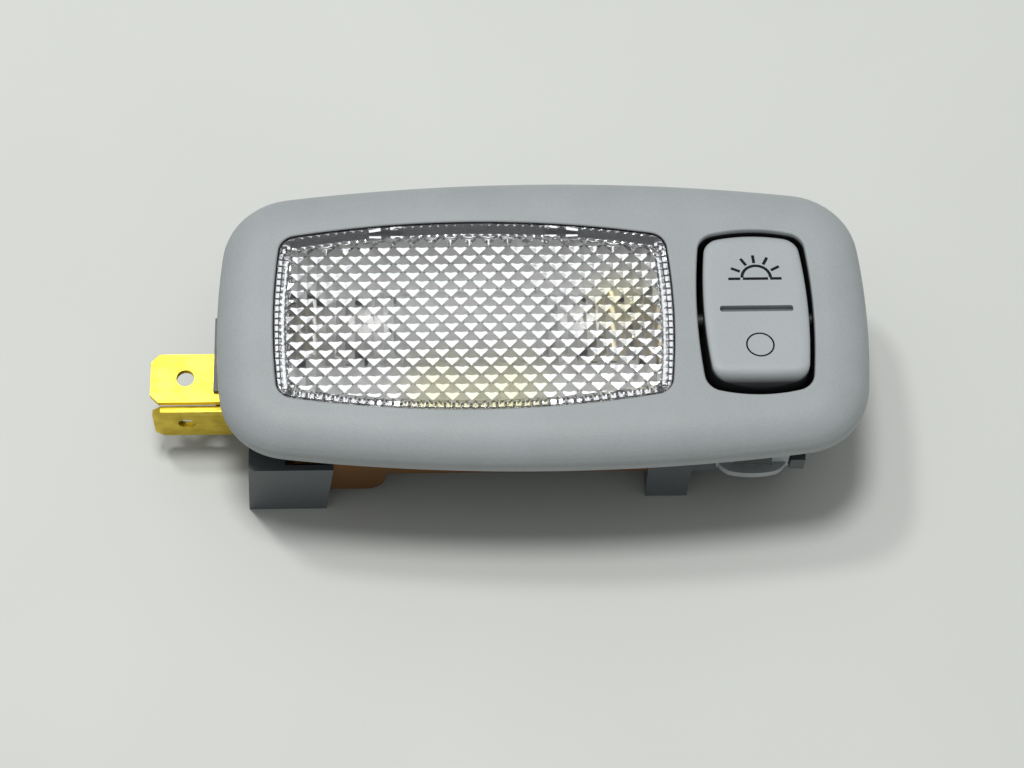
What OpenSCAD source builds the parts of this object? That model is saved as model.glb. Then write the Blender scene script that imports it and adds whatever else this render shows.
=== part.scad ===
// Car interior light: a clip-in ceiling lamp with a prismatic lens, a festoon bulb and a
// rocker switch. The origin is the centre of the bezel on the plane where its rim meets
// the panel. +X runs towards the switch end, +Z comes out of the panel. Millimetres.

/* [Bezel] */
// Length of the bezel
bezel_l = 75.6; // [75:0.2:78]
// Width of the bezel
bezel_w = 36.9; // [36.5:0.1:38]
// Height of the front face above the panel
bezel_h = 3.6; // [3.4:0.1:4.2]
// Wall thickness of the bezel
bezel_t = 1.5; // [1.2:0.1:1.6]
// Width of the band over which the front rolls down to the rim
bezel_roll = 5; // [4:0.2:5.6]
// Height of the plain upright rim below the roll
bezel_lip = 0.9; // [0.5:0.1:1.4]
// Radius of the bowed long sides
bezel_side_r = 240; // [200:5:300]
// Radius of the bowed ends
bezel_end_r = 85; // [70:1:100]
// Radius of the corners
bezel_corner_r = 8.4; // [8:0.2:10]

/* [Lens] */
// Length of the lens window
lens_l = 46.2; // [45:0.1:46.6]
// Width of the lens window
lens_w = 24.3; // [23.5:0.1:24.4]
// Centre of the lens window along the bezel
lens_x = -8.04; // [-8.4:0.02:-7.9]
// Radius of the window's long sides
lens_side_r = 129; // [110:1:150]
// Radius of the window's ends
lens_end_r = 77; // [60:1:90]
// Radius of the window's corners
lens_corner_r = 2.1; // [1.9:0.1:2.6]
// Gap between the lens and the bezel
lens_gap = 0.12; // [0.08:0.01:0.2]
// Thickness of the clear face over the prisms
lens_face_t = 1.2; // [1:0.1:1.3]
// Diagonal of one prism diamond
prism_diag = 2.23; // [2.1:0.01:2.6]
// Height of a prism from root to point
prism_h = 0.7; // [0.5:0.05:0.75]
// Width of the clear border round the prisms
border_w = 1.15; // [1:0.05:1.4]
// Pitch of the flutes along the border
flute_pitch = 1; // [0.9:0.05:1.4]
// Depth of a flute
flute_depth = 0.42; // [0.3:0.02:0.6]

/* [Rocker] */
// Length of the rocker window across the bezel
rocker_win_l = 21.4; // [21:0.1:21.8]
// Width of the rocker window along the bezel
rocker_win_w = 13.48; // [13.4:0.02:13.6]
// Centre of the rocker window along the bezel
rocker_x = 24.49; // [24.4:0.01:24.6]
// Radius of the window's bowed short sides
rocker_end_r = 19.4; // [17:0.2:24]
// Radius of the window's bowed long sides
rocker_side_r = 71.7; // [60:1:90]
// Radius of the window's corners
rocker_corner_r = 2.2; // [2:0.1:2.6]
// Gap beside the rocker
rocker_gap_x = 0.34; // [0.3:0.02:0.4]
// Gap at each end of the rocker when it is level
rocker_gap_y = 0.55; // [0.5:0.05:0.7]
// Rock to each side of level
rocker_tilt = 6.5; // [5:0.5:7]
// Height of the pivot above the panel
pivot_z = 1; // [0.8:0.1:1.1]
// Height of the rocker's face above its pivot
rocker_rise = 3; // [2.8:0.1:3.2]
// Radius of the rocker's pivot pins
pin_r = 0.9; // [0.8:0.05:0.95]

/* [Housing] */
// Left end of the housing
house_x0 = -34.6; // [-34.6:0.1:-34.2]
// Right end of the housing
house_x1 = 31; // [31:0.1:31.4]
// Width over the housing's side walls
house_w = 27.8; // [27.6:0.1:28]
// Wall thickness of the housing
house_t = 1.2; // [1:0.1:1.3]
// Underside of the housing's floor
house_z0 = -13.2; // [-13.4:0.1:-13]
// Plane that the four feet stand on
foot_z = -15.5; // [-16.5:0.1:-14.5]
// Width over the four feet
foot_w = 31.8; // [31.4:0.1:32.4]
// Height of the ledge that grips the panel from behind
ledge_z = -4.6; // [-4.8:0.1:-4.4]

/* [Blades] */
// Width of a terminal blade
blade_w = 6.3; // [6.3:0.1:6.3]
// Thickness of a terminal blade
blade_t = 0.8; // [0.8:0.1:0.8]
// Tip of the supply blade
blade_tip_x = -46; // [-48:0.5:-45]
// Radius of the latch hole in a blade
blade_hole_r = 1.05; // [0.8:0.05:1.2]
// Distance of the latch hole from the tip
blade_hole_in = 4.1; // [3.5:0.1:4.5]

/* [Bulb] */
// Height of the bulb's axis
bulb_z = -4.8; // [-4.9:0.05:-4.7]
// Radius of the glass
bulb_r = 4.75; // [4.4:0.05:4.8]
// Length of the glass between the caps
bulb_glass_l = 24; // [22:0.5:25]
// Length over the two caps
bulb_l = 36; // [35.8:0.1:36.2]
// Radius of a cap
cap_r = 4.1; // [3.8:0.1:4.25]

/* [Hidden] */

// How far one solid runs into the next, a fitting gap, and how far a cutter runs past its work
eps = 0.01;
slack = 0.05;
past = 1;

// Steps round an arc
steps_long = 10;
steps_short = 6;
steps_corner = 6;
steps_roll = 6;

// Windows and cavities
face_drop = 0.12;
face_z = bezel_h - face_drop;
plate_z = bezel_h - bezel_t;
cavity_lip = 0.3;
well_t = 1.2;
well_a = rocker_win_w / 2 + well_t;
well_z0 = -6;
stop_a = 4;
stop_y = 8.6;
stop_z = -4.35;

// Lens
lens_face_z = face_z - lens_face_t;
skirt_z = 0.7;
tab_x = [-18.2, 2.4];
tab_w = 3.9;
tab_out = 0.85;
tab_h = 0.6;
tab_z = 1.3;
tab_nib_w = 1.1;
tab_drop = lens_side_r - sqrt(pow(lens_side_r, 2) - pow(tab_x[1] - lens_x, 2));
tab_y = lens_w / 2 - tab_drop;
relief_y = 1.1;
relief_z = 1.9;
relief_rise = 0.36;
prism_side = prism_diag / sqrt(2);
prism_apex = [-8.4, -0.65];
prism_cells = 16;
prism_lap = 0.08;
flute_steps = 6;

// Rocker, measured from its pivot
rocker_a = rocker_win_w / 2 - rocker_gap_x;
rocker_b = rocker_win_l / 2 - rocker_gap_y;
rocker_edge = 0.5;
rocker_end_roll = 1.7;
rocker_far_roll = 0.4;
rocker_low = -4;
rocker_wall = 1.1;
rocker_top_t = 1.4;
rocker_end_wall = 2.2;
steps_edge = 4;
bar_l = 8.5;
bar_w = 0.84;
bar_y = -0.29;
bar_depth = 0.45;
pin_reach = 1.3;
pin_play = 0.07;
bore_r = pin_r + pin_play;
arm_a = 2.2;
arm_b = 1.9;
arm_low = -10.6;
ball_r = 1.25;
ball_bore_r = 1.3;
ball_z = -10.9;
bore_top = -5;
track_play = 0.3;
track_r = ball_r - ball_z + track_play;
spring_r = 0.95;
spring_wire_r = 0.18;
spring_turns = 6;
spring_steps = 16;
spring_sides = 6;

// Switch contacts
bridge_t = 0.35;
bridge_low = -10;
bridge_h = 2.4;
wipe_gap = 0.1;
finger_y = -1.2;

// Housing
house_b = house_w / 2;
house_top = 1;
house_corner = [4, 1.5];
belly_z = -8.8;
belly_b = 10.6;
floor_z = house_z0 + house_t;
flange_z = 0.2;
flange_w = 0.4;
end_open = 4.2;
foot_b = foot_w / 2;
left_foot = [-34.2, -24.4];
left_foot_low = [-34.8, -25.7];
right_foot = [12.1, 17.4];
right_foot_low = [12.3, 17.2];
right_foot_b = 14.8;
step_wall_x = 21.6;
step_wall_b = 14.6;
step_wall_z = -6.6;
pocket_x = -30;
foot_root_b = 10;
pocket_wall = 0.7;
wall_x = 15.3;
rivet_pad_x = [11.8, 20];
track_pad_b = 2.6;
track_pad_z = -10.95;
block_x = -38.55;
block_y = [-5.4, 4.2];
block_z = [-9.5, -4.9];
snap_x = [-20, 5];
snap_w = 4;
snap_t = 0.8;
snap_low = -4.2;
snap_slot = [-3.4, -2.2];
snap_play = 0.2;
bow_x = 24.05;
bow_a = 4.15;
bow_b = 3;
bow_side_r = 12;
bow_end_r = 60;
bow_corner_r = 2.2;
bow_t = 1;
bow_y = 16.7;
bow_z = [-6.2, -5.1];
bow_slot_a = 2.2;
bow_leg_y = [14.1, 15.3];
stop_lug = [28.5, 30.2];
stop_lug_b = 15.3;
stop_lug_z = [-7, -4.6];

// Stamped brass
leaf_t = 0.4;
supply_z = -5.5;
supply_y = -3.4;
supply_drop_x = -32;
pad_b = 4;
pad_z = floor_z + blade_t;
leaf_top = -1.6;
leaf_lean = 0.8;
leaf_foot = 1.4;
leaf_z = pad_z + leaf_t / 2;
blade_chamfer = 1;
supply_end_x = -28.3;
bulb_x = -8;
leaf_grip = 0.5;
leaf_x = bulb_l / 2 - leaf_grip;
seat_lean = leaf_lean * (leaf_top - bulb_z) / (leaf_top - leaf_z);
seat_play = 0.25;
earth_y = -6.9;
earth_top = -6.6;
earth_tip_x = -45.85;
earth_hole_in = 3.9;
earth_run_y = -house_b - blade_t / 2;
earth_run_z = [-8.4, -5.2];
earth_deep_z = -12.6;
earth_step_x = -18.4;
earth_step = [2.4, 3.9];
earth_jog_x = [-33.2, -30.4];
earth_turn_x = [17, 18.6];
earth_side_x = [-29, 17.8];
earth_in_y = -10.4;
earth_in_z = [-9.8, -6.4];
finger_x = rocker_x + arm_a + bridge_t + wipe_gap + blade_t / 2;
left_finger_x = rocker_x - arm_a - bridge_t - wipe_gap - leaf_t / 2;
rivet_r = 0.8;
rivet_head_r = 1.4;
rivet_head_h = 0.3;
rivet_x = [-29.9, 13];
finger_foot = 1.5;

// Reflector
mirror_t = 0.4;
mirror_r = 11.7;
mirror_z = 1.2;
mirror_x = [-29.8, 14.6];
notch_b = 4.4;
notch_in = 1.2;

// Bulb details
glass_t = 0.5;
cap_tip_r = 1.3;
cap_body = 3.4;
cap_lap = 1.1;
cap_round = 0.4;
cap_nose = 1.2;
cap_nose_flare = 0.5;
cap_nose_round = 0.3;
glass_shoulder = 1;
pinch_l = 1.5;
lead_r = 0.2;
bead_r = 0.36;
bead_gap = 1;
coil_r = 0.45;
coil_wire_r = 0.12;
coil_l = 9;
coil_turns = 11;
coil_steps = 8;
coil_sides = 5;

// Points along an arc, leaving out the first when skip is 1
function arc(c, r, a0, a1, n, skip = 0) =
    [for (i = [skip:n]) c + r * [cos(a0 + (a1 - a0) * i / n), sin(a0 + (a1 - a0) * i / n)]];

// The outer meeting point of two circles
function meet(c1, r1, c2, r2) =
    let (d = norm(c2 - c1), u = (c2 - c1) / d, x = (d * d + r1 * r1 - r2 * r2) / (2 * d))
    c1 + x * u + sqrt(r1 * r1 - x * x) * [u[1], -u[0]];

// A quarter of a barrel-shaped outline, from the middle of its end to the middle of its side
function barrel_quarter(a, b, side_r, end_r, corner_r, inset) =
    let (cs = [0, b - side_r], ce = [a - end_r, 0])
    let (c = meet(cs, side_r - corner_r, ce, end_r - corner_r))
    let (a1 = atan2(c[1], c[0] - ce[0]), a2 = atan2(c[1] - cs[1], c[0]))
    concat(
        arc(ce, end_r - inset, 0, a1, steps_short),
        arc(c, max(corner_r - inset, slack), a1, a2, steps_corner, 1),
        arc(cs, side_r - inset, a2, 90, steps_long, 1));

// The whole outline, mirrored from its quarter
function barrel(a, b, side_r, end_r, corner_r, inset = 0) =
    let (q = barrel_quarter(a, b, side_r, end_r, corner_r, inset), n = len(q) - 1)
    concat(
        [for (i = [0:n]) q[i]],
        [for (i = [n - 1:-1:0]) [-q[i][0], q[i][1]]],
        [for (i = [1:n]) [-q[i][0], -q[i][1]]],
        [for (i = [n - 1:-1:1]) [q[i][0], -q[i][1]]]);

function bezel_outline(inset) =
    barrel(bezel_l / 2, bezel_w / 2, bezel_side_r, bezel_end_r, bezel_corner_r, inset);
function lens_outline(inset) =
    barrel(lens_l / 2, lens_w / 2, lens_side_r, lens_end_r, lens_corner_r, inset);
function window_outline(inset) = barrel(
    rocker_win_w / 2, rocker_win_l / 2, rocker_end_r, rocker_side_r, rocker_corner_r, inset);
function rocker_outline(inset) = barrel(
    rocker_a, rocker_b, rocker_end_r, rocker_side_r, rocker_corner_r - rocker_gap_x, inset);

// A strip of sheet metal seen on edge: the path is its middle line, with mitred bends
function turn(p, i) =
    let (a = p[max(i, 1)] - p[max(i, 1) - 1], b = p[min(i + 1, len(p) - 1)] - p[min(i, len(p) - 2)])
    a / norm(a) + b / norm(b);
function side_point(p, i, h) =
    let (s = turn(p, i), u = s / norm(s), m = norm(s) / 2) p[i] + h / m * [-u[1], u[0]];
function ribbon(p, t) = concat(
    [for (i = [0:len(p) - 1]) side_point(p, i, t / 2)],
    [for (i = [len(p) - 1:-1:0]) side_point(p, i, -t / 2)]);

// A plan outline raised between two heights
module slab(points, z0, z1) {
    translate([0, 0, z0])
        linear_extrude(z1 - z0)
            polygon(points);
}

// A profile drawn in X and Z, given depth from y0 to y1
module side_profile(points, y0, y1) {
    translate([0, y1, 0])
        rotate([90, 0, 0])
            linear_extrude(y1 - y0)
                polygon(points);
}

// A profile drawn in Y and Z, given length from x0 to x1
module end_profile(points, x0, x1) {
    translate([x0, 0, 0])
        rotate([90, 0, 90])
            linear_extrude(x1 - x0)
                polygon(points);
}

// A box from its two corners
module block(low, high) {
    translate(low)
        cube(high - low);
}

// What stands on both long sides of the lamp
module both_sides() {
    children();
    mirror([0, 1, 0])
        children();
}

// A round rod along X
module rod_x(r, x0, x1, sides = 48) {
    translate([x0, 0, 0])
        rotate([0, 90, 0])
            cylinder(h = x1 - x0, r = r, $fn = sides);
}

// A crowned shell form: a plain rim with a front that rolls over to a flat top
module pillow(inset, top, lip) {
    hull() {
        slab(bezel_outline(inset), -eps, lip);
        for (i = [1:steps_roll]) {
            roll_a = 90 * i / steps_roll;
            slab(bezel_outline(inset + bezel_roll * (1 - cos(roll_a))),
                lip, lip + (top - lip) * sin(roll_a));
        }
    }
}

// A sprung bow that grips the edge of the panel's cut-out: a bulged plate with a slot
// behind it, held by two legs
module bow() {
    translate([bow_x, 0, 0]) {
        difference() {
            translate([0, -bow_y + bow_b, 0])
                slab(barrel(bow_a, bow_b, bow_side_r, bow_end_r, bow_corner_r), bow_z[0], bow_z[1]);
            block([-bow_slot_a, -bow_y + bow_t, bow_z[0] - past], [bow_slot_a, 0, bow_z[1] + past]);
            block([-bow_a - past, -bow_leg_y[0], bow_z[0] - past], [bow_a + past, 0, bow_z[1] + past]);
        }
        for (x = [-bow_a, bow_slot_a])
            block([x, -bow_leg_y[1], bow_z[0]],
                [x + bow_a - bow_slot_a, -bow_leg_y[0], plate_z + bezel_t / 4]);
    }
}

// A snap arm that hooks into a slot in the housing's side wall
module snap_arm(x) {
    end_profile([
        [-house_b - slack, plate_z + bezel_t / 4],
        [-house_b - slack, snap_slot[1] - slack],
        [-house_b + house_t / 2, snap_slot[1] - slack],
        [-house_b + house_t / 2, (snap_slot[0] + snap_slot[1]) / 2],
        [-house_b - slack, snap_slot[0] + slack],
        [-house_b - slack, snap_low],
        [-house_b - slack - snap_t, snap_low],
        [-house_b - slack - snap_t, plate_z + bezel_t / 4]],
        x - snap_w / 2, x + snap_w / 2);
}

module bezel() {
    color([0.66, 0.68, 0.69])
        difference() {
            union() {
                difference() {
                    pillow(0, bezel_h, bezel_lip);
                    translate([0, 0, -eps])
                        pillow(bezel_t, plate_z, cavity_lip);
                }
                translate([rocker_x, 0, 0])
                    slab(window_outline(-well_t), well_z0, plate_z + eps);
                both_sides() {
                    bow();
                    snap_arm(snap_x[0]);
                    snap_arm(snap_x[1]);
                }
            }
            translate([lens_x, 0, 0])
                slab(lens_outline(0), plate_z - past, bezel_h + past);
            difference() {
                translate([rocker_x, 0, 0])
                    slab(window_outline(0), well_z0 - past, bezel_h + past);
                both_sides()
                    block([rocker_x - stop_a, -bezel_w / 2, well_z0 - 2 * past],
                        [rocker_x + stop_a, -stop_y, stop_z]);
            }
            translate([0, 0, pivot_z])
                rod_x(bore_r, rocker_x - well_a - past, rocker_x + well_a + past);
        }
}

// Saw-tooth section whose teeth point down, one tooth to a prism side
module ridges() {
    n = prism_cells;
    translate([0, 0, lens_face_z])
        rotate([90, 0, 0])
            translate([0, 0, -lens_l])
                linear_extrude(2 * lens_l)
                    polygon(concat(
                        [[n * prism_side, lens_face_t / 2], [-n * prism_side, lens_face_t / 2]],
                        [for (i = [-n:n - 1]) each [
                            [i * prism_side, 0],
                            [(i + 0.5) * prism_side, -prism_h]]],
                        [[n * prism_side, 0]]));
}

// Square prisms on the lens's back, where two sets of ridges cross
module prism_field() {
    intersection() {
        translate([lens_x, 0, 0])
            slab(lens_outline(border_w + flute_depth - prism_lap),
                lens_face_z - prism_h - past, lens_face_z + eps);
        translate([prism_apex[0], prism_apex[1], 0])
            rotate(45)
                translate([-prism_side / 2, 0, 0])
                    ridges();
        translate([prism_apex[0], prism_apex[1], 0])
            rotate(-45)
                translate([-prism_side / 2, 0, 0])
                    ridges();
    }
}

// One side of the fluted outline: half-round scallops along a line from p to q
function scallops(p, q) =
    let (n = max(1, round(norm(q - p) / flute_pitch)), u = (q - p) / norm(q - p), w = [u[1], -u[0]])
    [for (i = [0:n - 1], k = [0:flute_steps - 1])
        let (a = 180 * k / flute_steps)
        p + (q - p) * (i + (1 - cos(a)) / 2) / n + w * flute_depth * sin(a)];
function fluted(points) =
    [for (i = [0:len(points) - 1]) each scallops(points[i], points[(i + 1) % len(points)])];

// The border's inner outline with few enough points to carry even flutes
function barrel_corners(inset) =
    let (q = lens_outline(inset)) [for (i = [0:2:len(q) - 1]) q[i]];

// Beside each snap nib the skirt is cut short and its lower edge is a blunt V
module tab_relief(x) {
    foot_y = -tab_y + lens_gap;
    for (x0 = [x - tab_w / 2, x + tab_nib_w / 2])
        end_profile([
            [foot_y - past, skirt_z - past],
            [foot_y - past, relief_z],
            [foot_y, relief_z],
            [foot_y + relief_y / 2, relief_z - relief_rise],
            [foot_y + relief_y, relief_z],
            [foot_y + relief_y, skirt_z - past]],
            x0, x0 + (tab_w - tab_nib_w) / 2);
}

module lens() {
    corners = barrel_corners(border_w + flute_depth);
    color([0.86, 0.88, 0.88])
        union() {
            difference() {
                translate([lens_x, 0, 0])
                    slab(lens_outline(lens_gap), skirt_z, face_z);
                translate([lens_x, 0, 0])
                    slab(fluted(corners), skirt_z - past, lens_face_z);
                both_sides() {
                    tab_relief(tab_x[0]);
                    tab_relief(tab_x[1]);
                }
            }
            prism_field();
            both_sides()
                for (x = tab_x)
                    block([x - tab_nib_w / 2, -tab_y - tab_out, tab_z],
                        [x + tab_nib_w / 2, -tab_y + border_w, tab_z + tab_h]);
        }
}

// The rocker's outer form, level on its pivot
module rocker_form() {
    near = rocker_end_roll;
    far = rocker_far_roll;
    intersection() {
        hull() {
            slab(rocker_outline(rocker_edge / 2), rocker_low, rocker_low + eps);
            for (i = [0:steps_edge]) {
                edge_a = 90 * i / steps_edge;
                slab(rocker_outline(rocker_edge * (1 - cos(edge_a))),
                    0, rocker_rise - rocker_edge * (1 - sin(edge_a)));
            }
        }
        end_profile(concat(
            [[-rocker_b - past, rocker_low - past], [rocker_b + past, rocker_low - past], [rocker_b, 0]],
            arc([rocker_b - far, rocker_rise - far], far, 0, 90, steps_corner),
            arc([-rocker_b + near, rocker_rise - near], near, 90, 180, steps_corner),
            [[-rocker_b, 0]]),
            -rocker_a - past, rocker_a + past);
    }
}

// Puts what is drawn level on the pivot into its place, pressed on the far side
module at_pivot() {
    translate([rocker_x, 0, pivot_z])
        rotate([-rocker_tilt, 0, 0])
            children();
}

module rocker() {
    inner_a = rocker_a - rocker_wall;
    inner_b = rocker_b - rocker_end_wall;
    color([0.66, 0.68, 0.69])
        at_pivot()
            difference() {
                union() {
                    difference() {
                        rocker_form();
                        block([-inner_a, -inner_b, rocker_low - past],
                            [inner_a, inner_b, rocker_rise - rocker_top_t]);
                    }
                    block([-arm_a, -arm_b, arm_low], [arm_a, arm_b, rocker_rise - rocker_top_t + eps]);
                    rod_x(pin_r, -rocker_a - pin_reach, -inner_a);
                    rod_x(pin_r, inner_a, rocker_a + pin_reach);
                }
                block([-bar_l / 2, bar_y - bar_w / 2, rocker_rise - bar_depth],
                    [bar_l / 2, bar_y + bar_w / 2, rocker_rise + past]);
                translate([0, 0, arm_low - past])
                    cylinder(h = bore_top - arm_low + past, r = ball_bore_r, $fn = 48);
            }
}

module contact_bridge() {
    color([0.8, 0.6, 0.3])
        at_pivot()
            difference() {
                block([-arm_a - bridge_t, -arm_b - bridge_t, bridge_low],
                    [arm_a + bridge_t, arm_b, bridge_low + bridge_h]);
                block([-arm_a, -arm_b, bridge_low - past],
                    [arm_a, arm_b + past, bridge_low + bridge_h + past]);
            }
}

module detent_ball() {
    color([0.75, 0.76, 0.78])
        at_pivot()
            translate([0, 0, ball_z])
                sphere(r = ball_r, $fn = 48);
}

// A wire swept along a helix: rings of points joined into one closed skin
module helix(r, wire_r, z0, z1, turns, per_turn, sides) {
    n = turns * per_turn;
    m = sides - 1;
    points = [for (i = [0:n], k = [0:m])
        let (a = 360 * i / per_turn, w = 360 * k / sides)
        [(r + wire_r * cos(w)) * cos(a), (r + wire_r * cos(w)) * sin(a),
            z0 + (z1 - z0) * i / n + wire_r * sin(w)]];
    polyhedron(points, concat(
        [[for (k = [m:-1:0]) k]],
        [for (i = [0:n - 1], k = [0:m])
            [i * sides + k, i * sides + (k + 1) % sides, (i + 1) * sides + (k + 1) % sides]],
        [for (i = [0:n - 1], k = [0:m])
            [i * sides + k, (i + 1) * sides + (k + 1) % sides, (i + 1) * sides + k]],
        [[for (k = [0:m]) n * sides + k]]));
}

module detent_spring() {
    color([0.7, 0.71, 0.73])
        at_pivot()
            helix(spring_r, spring_wire_r, ball_z + ball_r + spring_wire_r, bore_top - spring_wire_r,
                spring_turns, spring_steps, spring_sides);
}

// Outline of the housing seen from the front, drawn in by inset
function house_outline(inset) =
    let (x0 = house_x0 + inset, x1 = house_x1 - inset, b = house_b - inset)
    let (r0 = house_corner[0] - inset, r1 = house_corner[1] - inset)
    concat(
        arc([x1 - r1, b - r1], r1, 0, 90, steps_corner),
        arc([x0 + r0, b - r0], r0, 90, 180, steps_corner),
        arc([x0 + r0, -b + r0], r0, 180, 270, steps_corner),
        arc([x1 - r1, -b + r1], r1, 270, 360, steps_corner));

// Section of the housing across its length: upright sides and a narrower belly
function house_section(inset, top) =
    [[house_b - inset, top], [-house_b + inset, top], [-house_b + inset, belly_z + inset / 2],
        [-belly_b + inset / 2, house_z0 + inset], [belly_b - inset / 2, house_z0 + inset],
        [house_b - inset, belly_z + inset / 2]];

module tub(inset, top) {
    intersection() {
        slab(house_outline(inset), house_z0 - past, top);
        end_profile(house_section(inset, top + past), house_x0 - past, house_x1 + past);
    }
}

// A foot on the housing's side: its top edge is the ledge that grips the panel from behind
module foot(top, low, b) {
    side_profile([[top[0], ledge_z], [low[0], foot_z], [low[1], foot_z], [top[1], ledge_z]],
        -b, -foot_root_b);
}

// The four feet, each with the wall or lug beside it; the left feet are hollow behind
module feet() {
    both_sides() {
        difference() {
            foot(left_foot, left_foot_low, foot_b);
            block([pocket_x, -foot_b + pocket_wall, foot_z + house_t],
                [left_foot[1] + past, -house_b, ledge_z + past]);
        }
        foot(right_foot, right_foot_low, right_foot_b);
        block([right_foot[1] - past, -step_wall_b, belly_z],
            [step_wall_x, -house_b + house_t / 2, step_wall_z]);
        block([stop_lug[0], -stop_lug_b, stop_lug_z[0]], [stop_lug[1], -house_b + past, stop_lug_z[1]]);
    }
}

// The hollow of the housing, open at the right end for the switch well
module hollow() {
    tub(house_t, house_top + past);
    block([house_x1 - end_open, -house_b + house_t, well_z0],
        [house_x1 + past, house_b - house_t, house_top + past]);
}

// What stands inside: the wall beside the switch, ledges for the reflector and two pads
module inner_walls() {
    block([wall_x, -house_b + house_t / 2, floor_z - eps],
        [wall_x + house_t, house_b - house_t / 2, house_top]);
    both_sides()
        block([house_x0 + house_corner[0], -house_b + house_t / 2, flange_z - house_t],
            [wall_x + eps, -house_b + house_t + flange_w, flange_z]);
    block([rivet_pad_x[0], -pad_b, floor_z - eps], [rivet_pad_x[1], pad_b, pad_z]);
    block([rocker_x - arm_a, -track_pad_b, floor_z - eps], [rocker_x + arm_a, track_pad_b, track_pad_z]);
}

module rivet_hole(x) {
    translate([x, 0, house_z0 - past])
        cylinder(h = pad_z + leaf_t - house_z0 + 2 * past, r = rivet_r + slack, $fn = 32);
}

module housing() {
    color([0.27, 0.31, 0.33])
        difference() {
            union() {
                difference() {
                    union() {
                        tub(0, house_top);
                        feet();
                    }
                    hollow();
                }
                block([block_x, block_y[0], block_z[0]], [house_x0 + house_t / 2, block_y[1], block_z[1]]);
                inner_walls();
            }
            translate([0, 0, pivot_z])
                rod_x(track_r, rocker_x - arm_a - past, rocker_x + arm_a + past, 96);
            both_sides()
                for (x = snap_x)
                    block([x - snap_w / 2 - snap_play, -house_b - past, snap_slot[0]],
                        [x + snap_w / 2 + snap_play, -house_b + house_t + past, snap_slot[1]]);
            supply_blank(slack);
            earth_blank(slack);
            block([wall_x - past, -pad_b - slack, pad_z],
                [wall_x + house_t + past, pad_b + slack, pad_z + leaf_t + slack]);
            rivet_hole(rivet_x[0]);
            rivet_hole(rivet_x[1]);
        }
}

module reflector() {
    top = flange_z + mirror_t;
    color([0.9, 0.9, 0.9])
        difference() {
            union() {
                intersection() {
                    translate([0, 0, mirror_z])
                        difference() {
                            rod_x(mirror_r, mirror_x[0], mirror_x[1], 96);
                            rod_x(mirror_r - mirror_t, mirror_x[0] + mirror_t, mirror_x[1] - mirror_t, 96);
                        }
                    block([mirror_x[0] - past, -mirror_r - past, -mirror_r - past],
                        [mirror_x[1] + past, mirror_r + past, top]);
                }
                both_sides()
                    block([mirror_x[0], -house_b + house_t + slack, flange_z],
                        [mirror_x[1], -mirror_r + mirror_t + slack, top]);
            }
            block([mirror_x[0] - past, -notch_b, -mirror_r - past],
                [bulb_x - leaf_x + notch_in, notch_b, top + past]);
            block([bulb_x + leaf_x - notch_in, -notch_b, -mirror_r - past],
                [mirror_x[1] + past, notch_b, top + past]);
        }
}

// The bulb is turned about its own axis, so each piece is a half section spun round
module on_bulb_axis() {
    translate([bulb_x, 0, bulb_z])
        rotate([0, 90, 0])
            children();
}

// Half section of the glass, or of its hollow: flat ends joined to the wall by round shoulders
module glass_section(half, end_r, inset, r) {
    shoulder = bulb_r / 2;
    rise = half - shoulder - inset;
    polygon(concat([[0, -half], [end_r, -half]],
        arc([bulb_r - shoulder, -rise], r, -60, 0, steps_corner),
        arc([bulb_r - shoulder, rise], r, 0, 60, steps_corner),
        [[end_r, half], [0, half]]));
}

module bulb_glass() {
    half = bulb_glass_l / 2;
    shoulder = bulb_r / 2;
    neck = cap_r - glass_t - slack;
    color([0.9, 0.92, 0.93])
        on_bulb_axis()
            rotate_extrude($fn = 64)
                difference() {
                    glass_section(half, neck, glass_shoulder, shoulder);
                    glass_section(half - pinch_l, bulb_r / 2, 0, shoulder - glass_t);
                }
}

module bulb_cap(side) {
    half = bulb_glass_l / 2;
    tip = bulb_l / 2;
    color([0.78, 0.79, 0.8])
        on_bulb_axis()
            mirror([0, 0, side < 0 ? 1 : 0])
                rotate_extrude($fn = 64)
                    polygon([[0, half], [cap_r - glass_t, half], [cap_r - glass_t, half - cap_lap],
                        [cap_r, half - cap_lap], [cap_r, half + cap_body / 2],
                        [cap_r - cap_round, half + cap_body / 2 + cap_round],
                        [cap_tip_r + cap_nose_flare, tip - cap_nose],
                        [cap_tip_r, tip - cap_nose_round], [cap_tip_r - cap_nose_round, tip], [0, tip]]);
}

module bulb_cap_left() {
    bulb_cap(-1);
}

module bulb_cap_right() {
    bulb_cap(1);
}

module bulb_filament() {
    color([0.45, 0.44, 0.43])
        on_bulb_axis()
            helix(coil_r, coil_wire_r, -coil_l / 2, coil_l / 2, coil_turns, coil_steps, coil_sides);
}

module bulb_leads() {
    start = coil_l / 2 + coil_wire_r + slack;
    color([0.6, 0.6, 0.6])
        on_bulb_axis()
            for (s = [0, 1])
                mirror([0, 0, s])
                    translate([coil_r, 0, start]) {
                        cylinder(h = bulb_glass_l / 2 - pinch_l - start, r = lead_r, $fn = 16);
                        translate([0, 0, bead_gap])
                            sphere(r = bead_r, $fn = 16);
                    }
}

// Plan outline of a blade's tip, with its corners cut off
function blade_tip(x0, x1, w, c = blade_chamfer) =
    [[x1, -w / 2], [x1, w / 2], [x0 + c, w / 2], [x0, w / 2 - c], [x0, -w / 2 + c], [x0 + c, -w / 2]];

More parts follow.
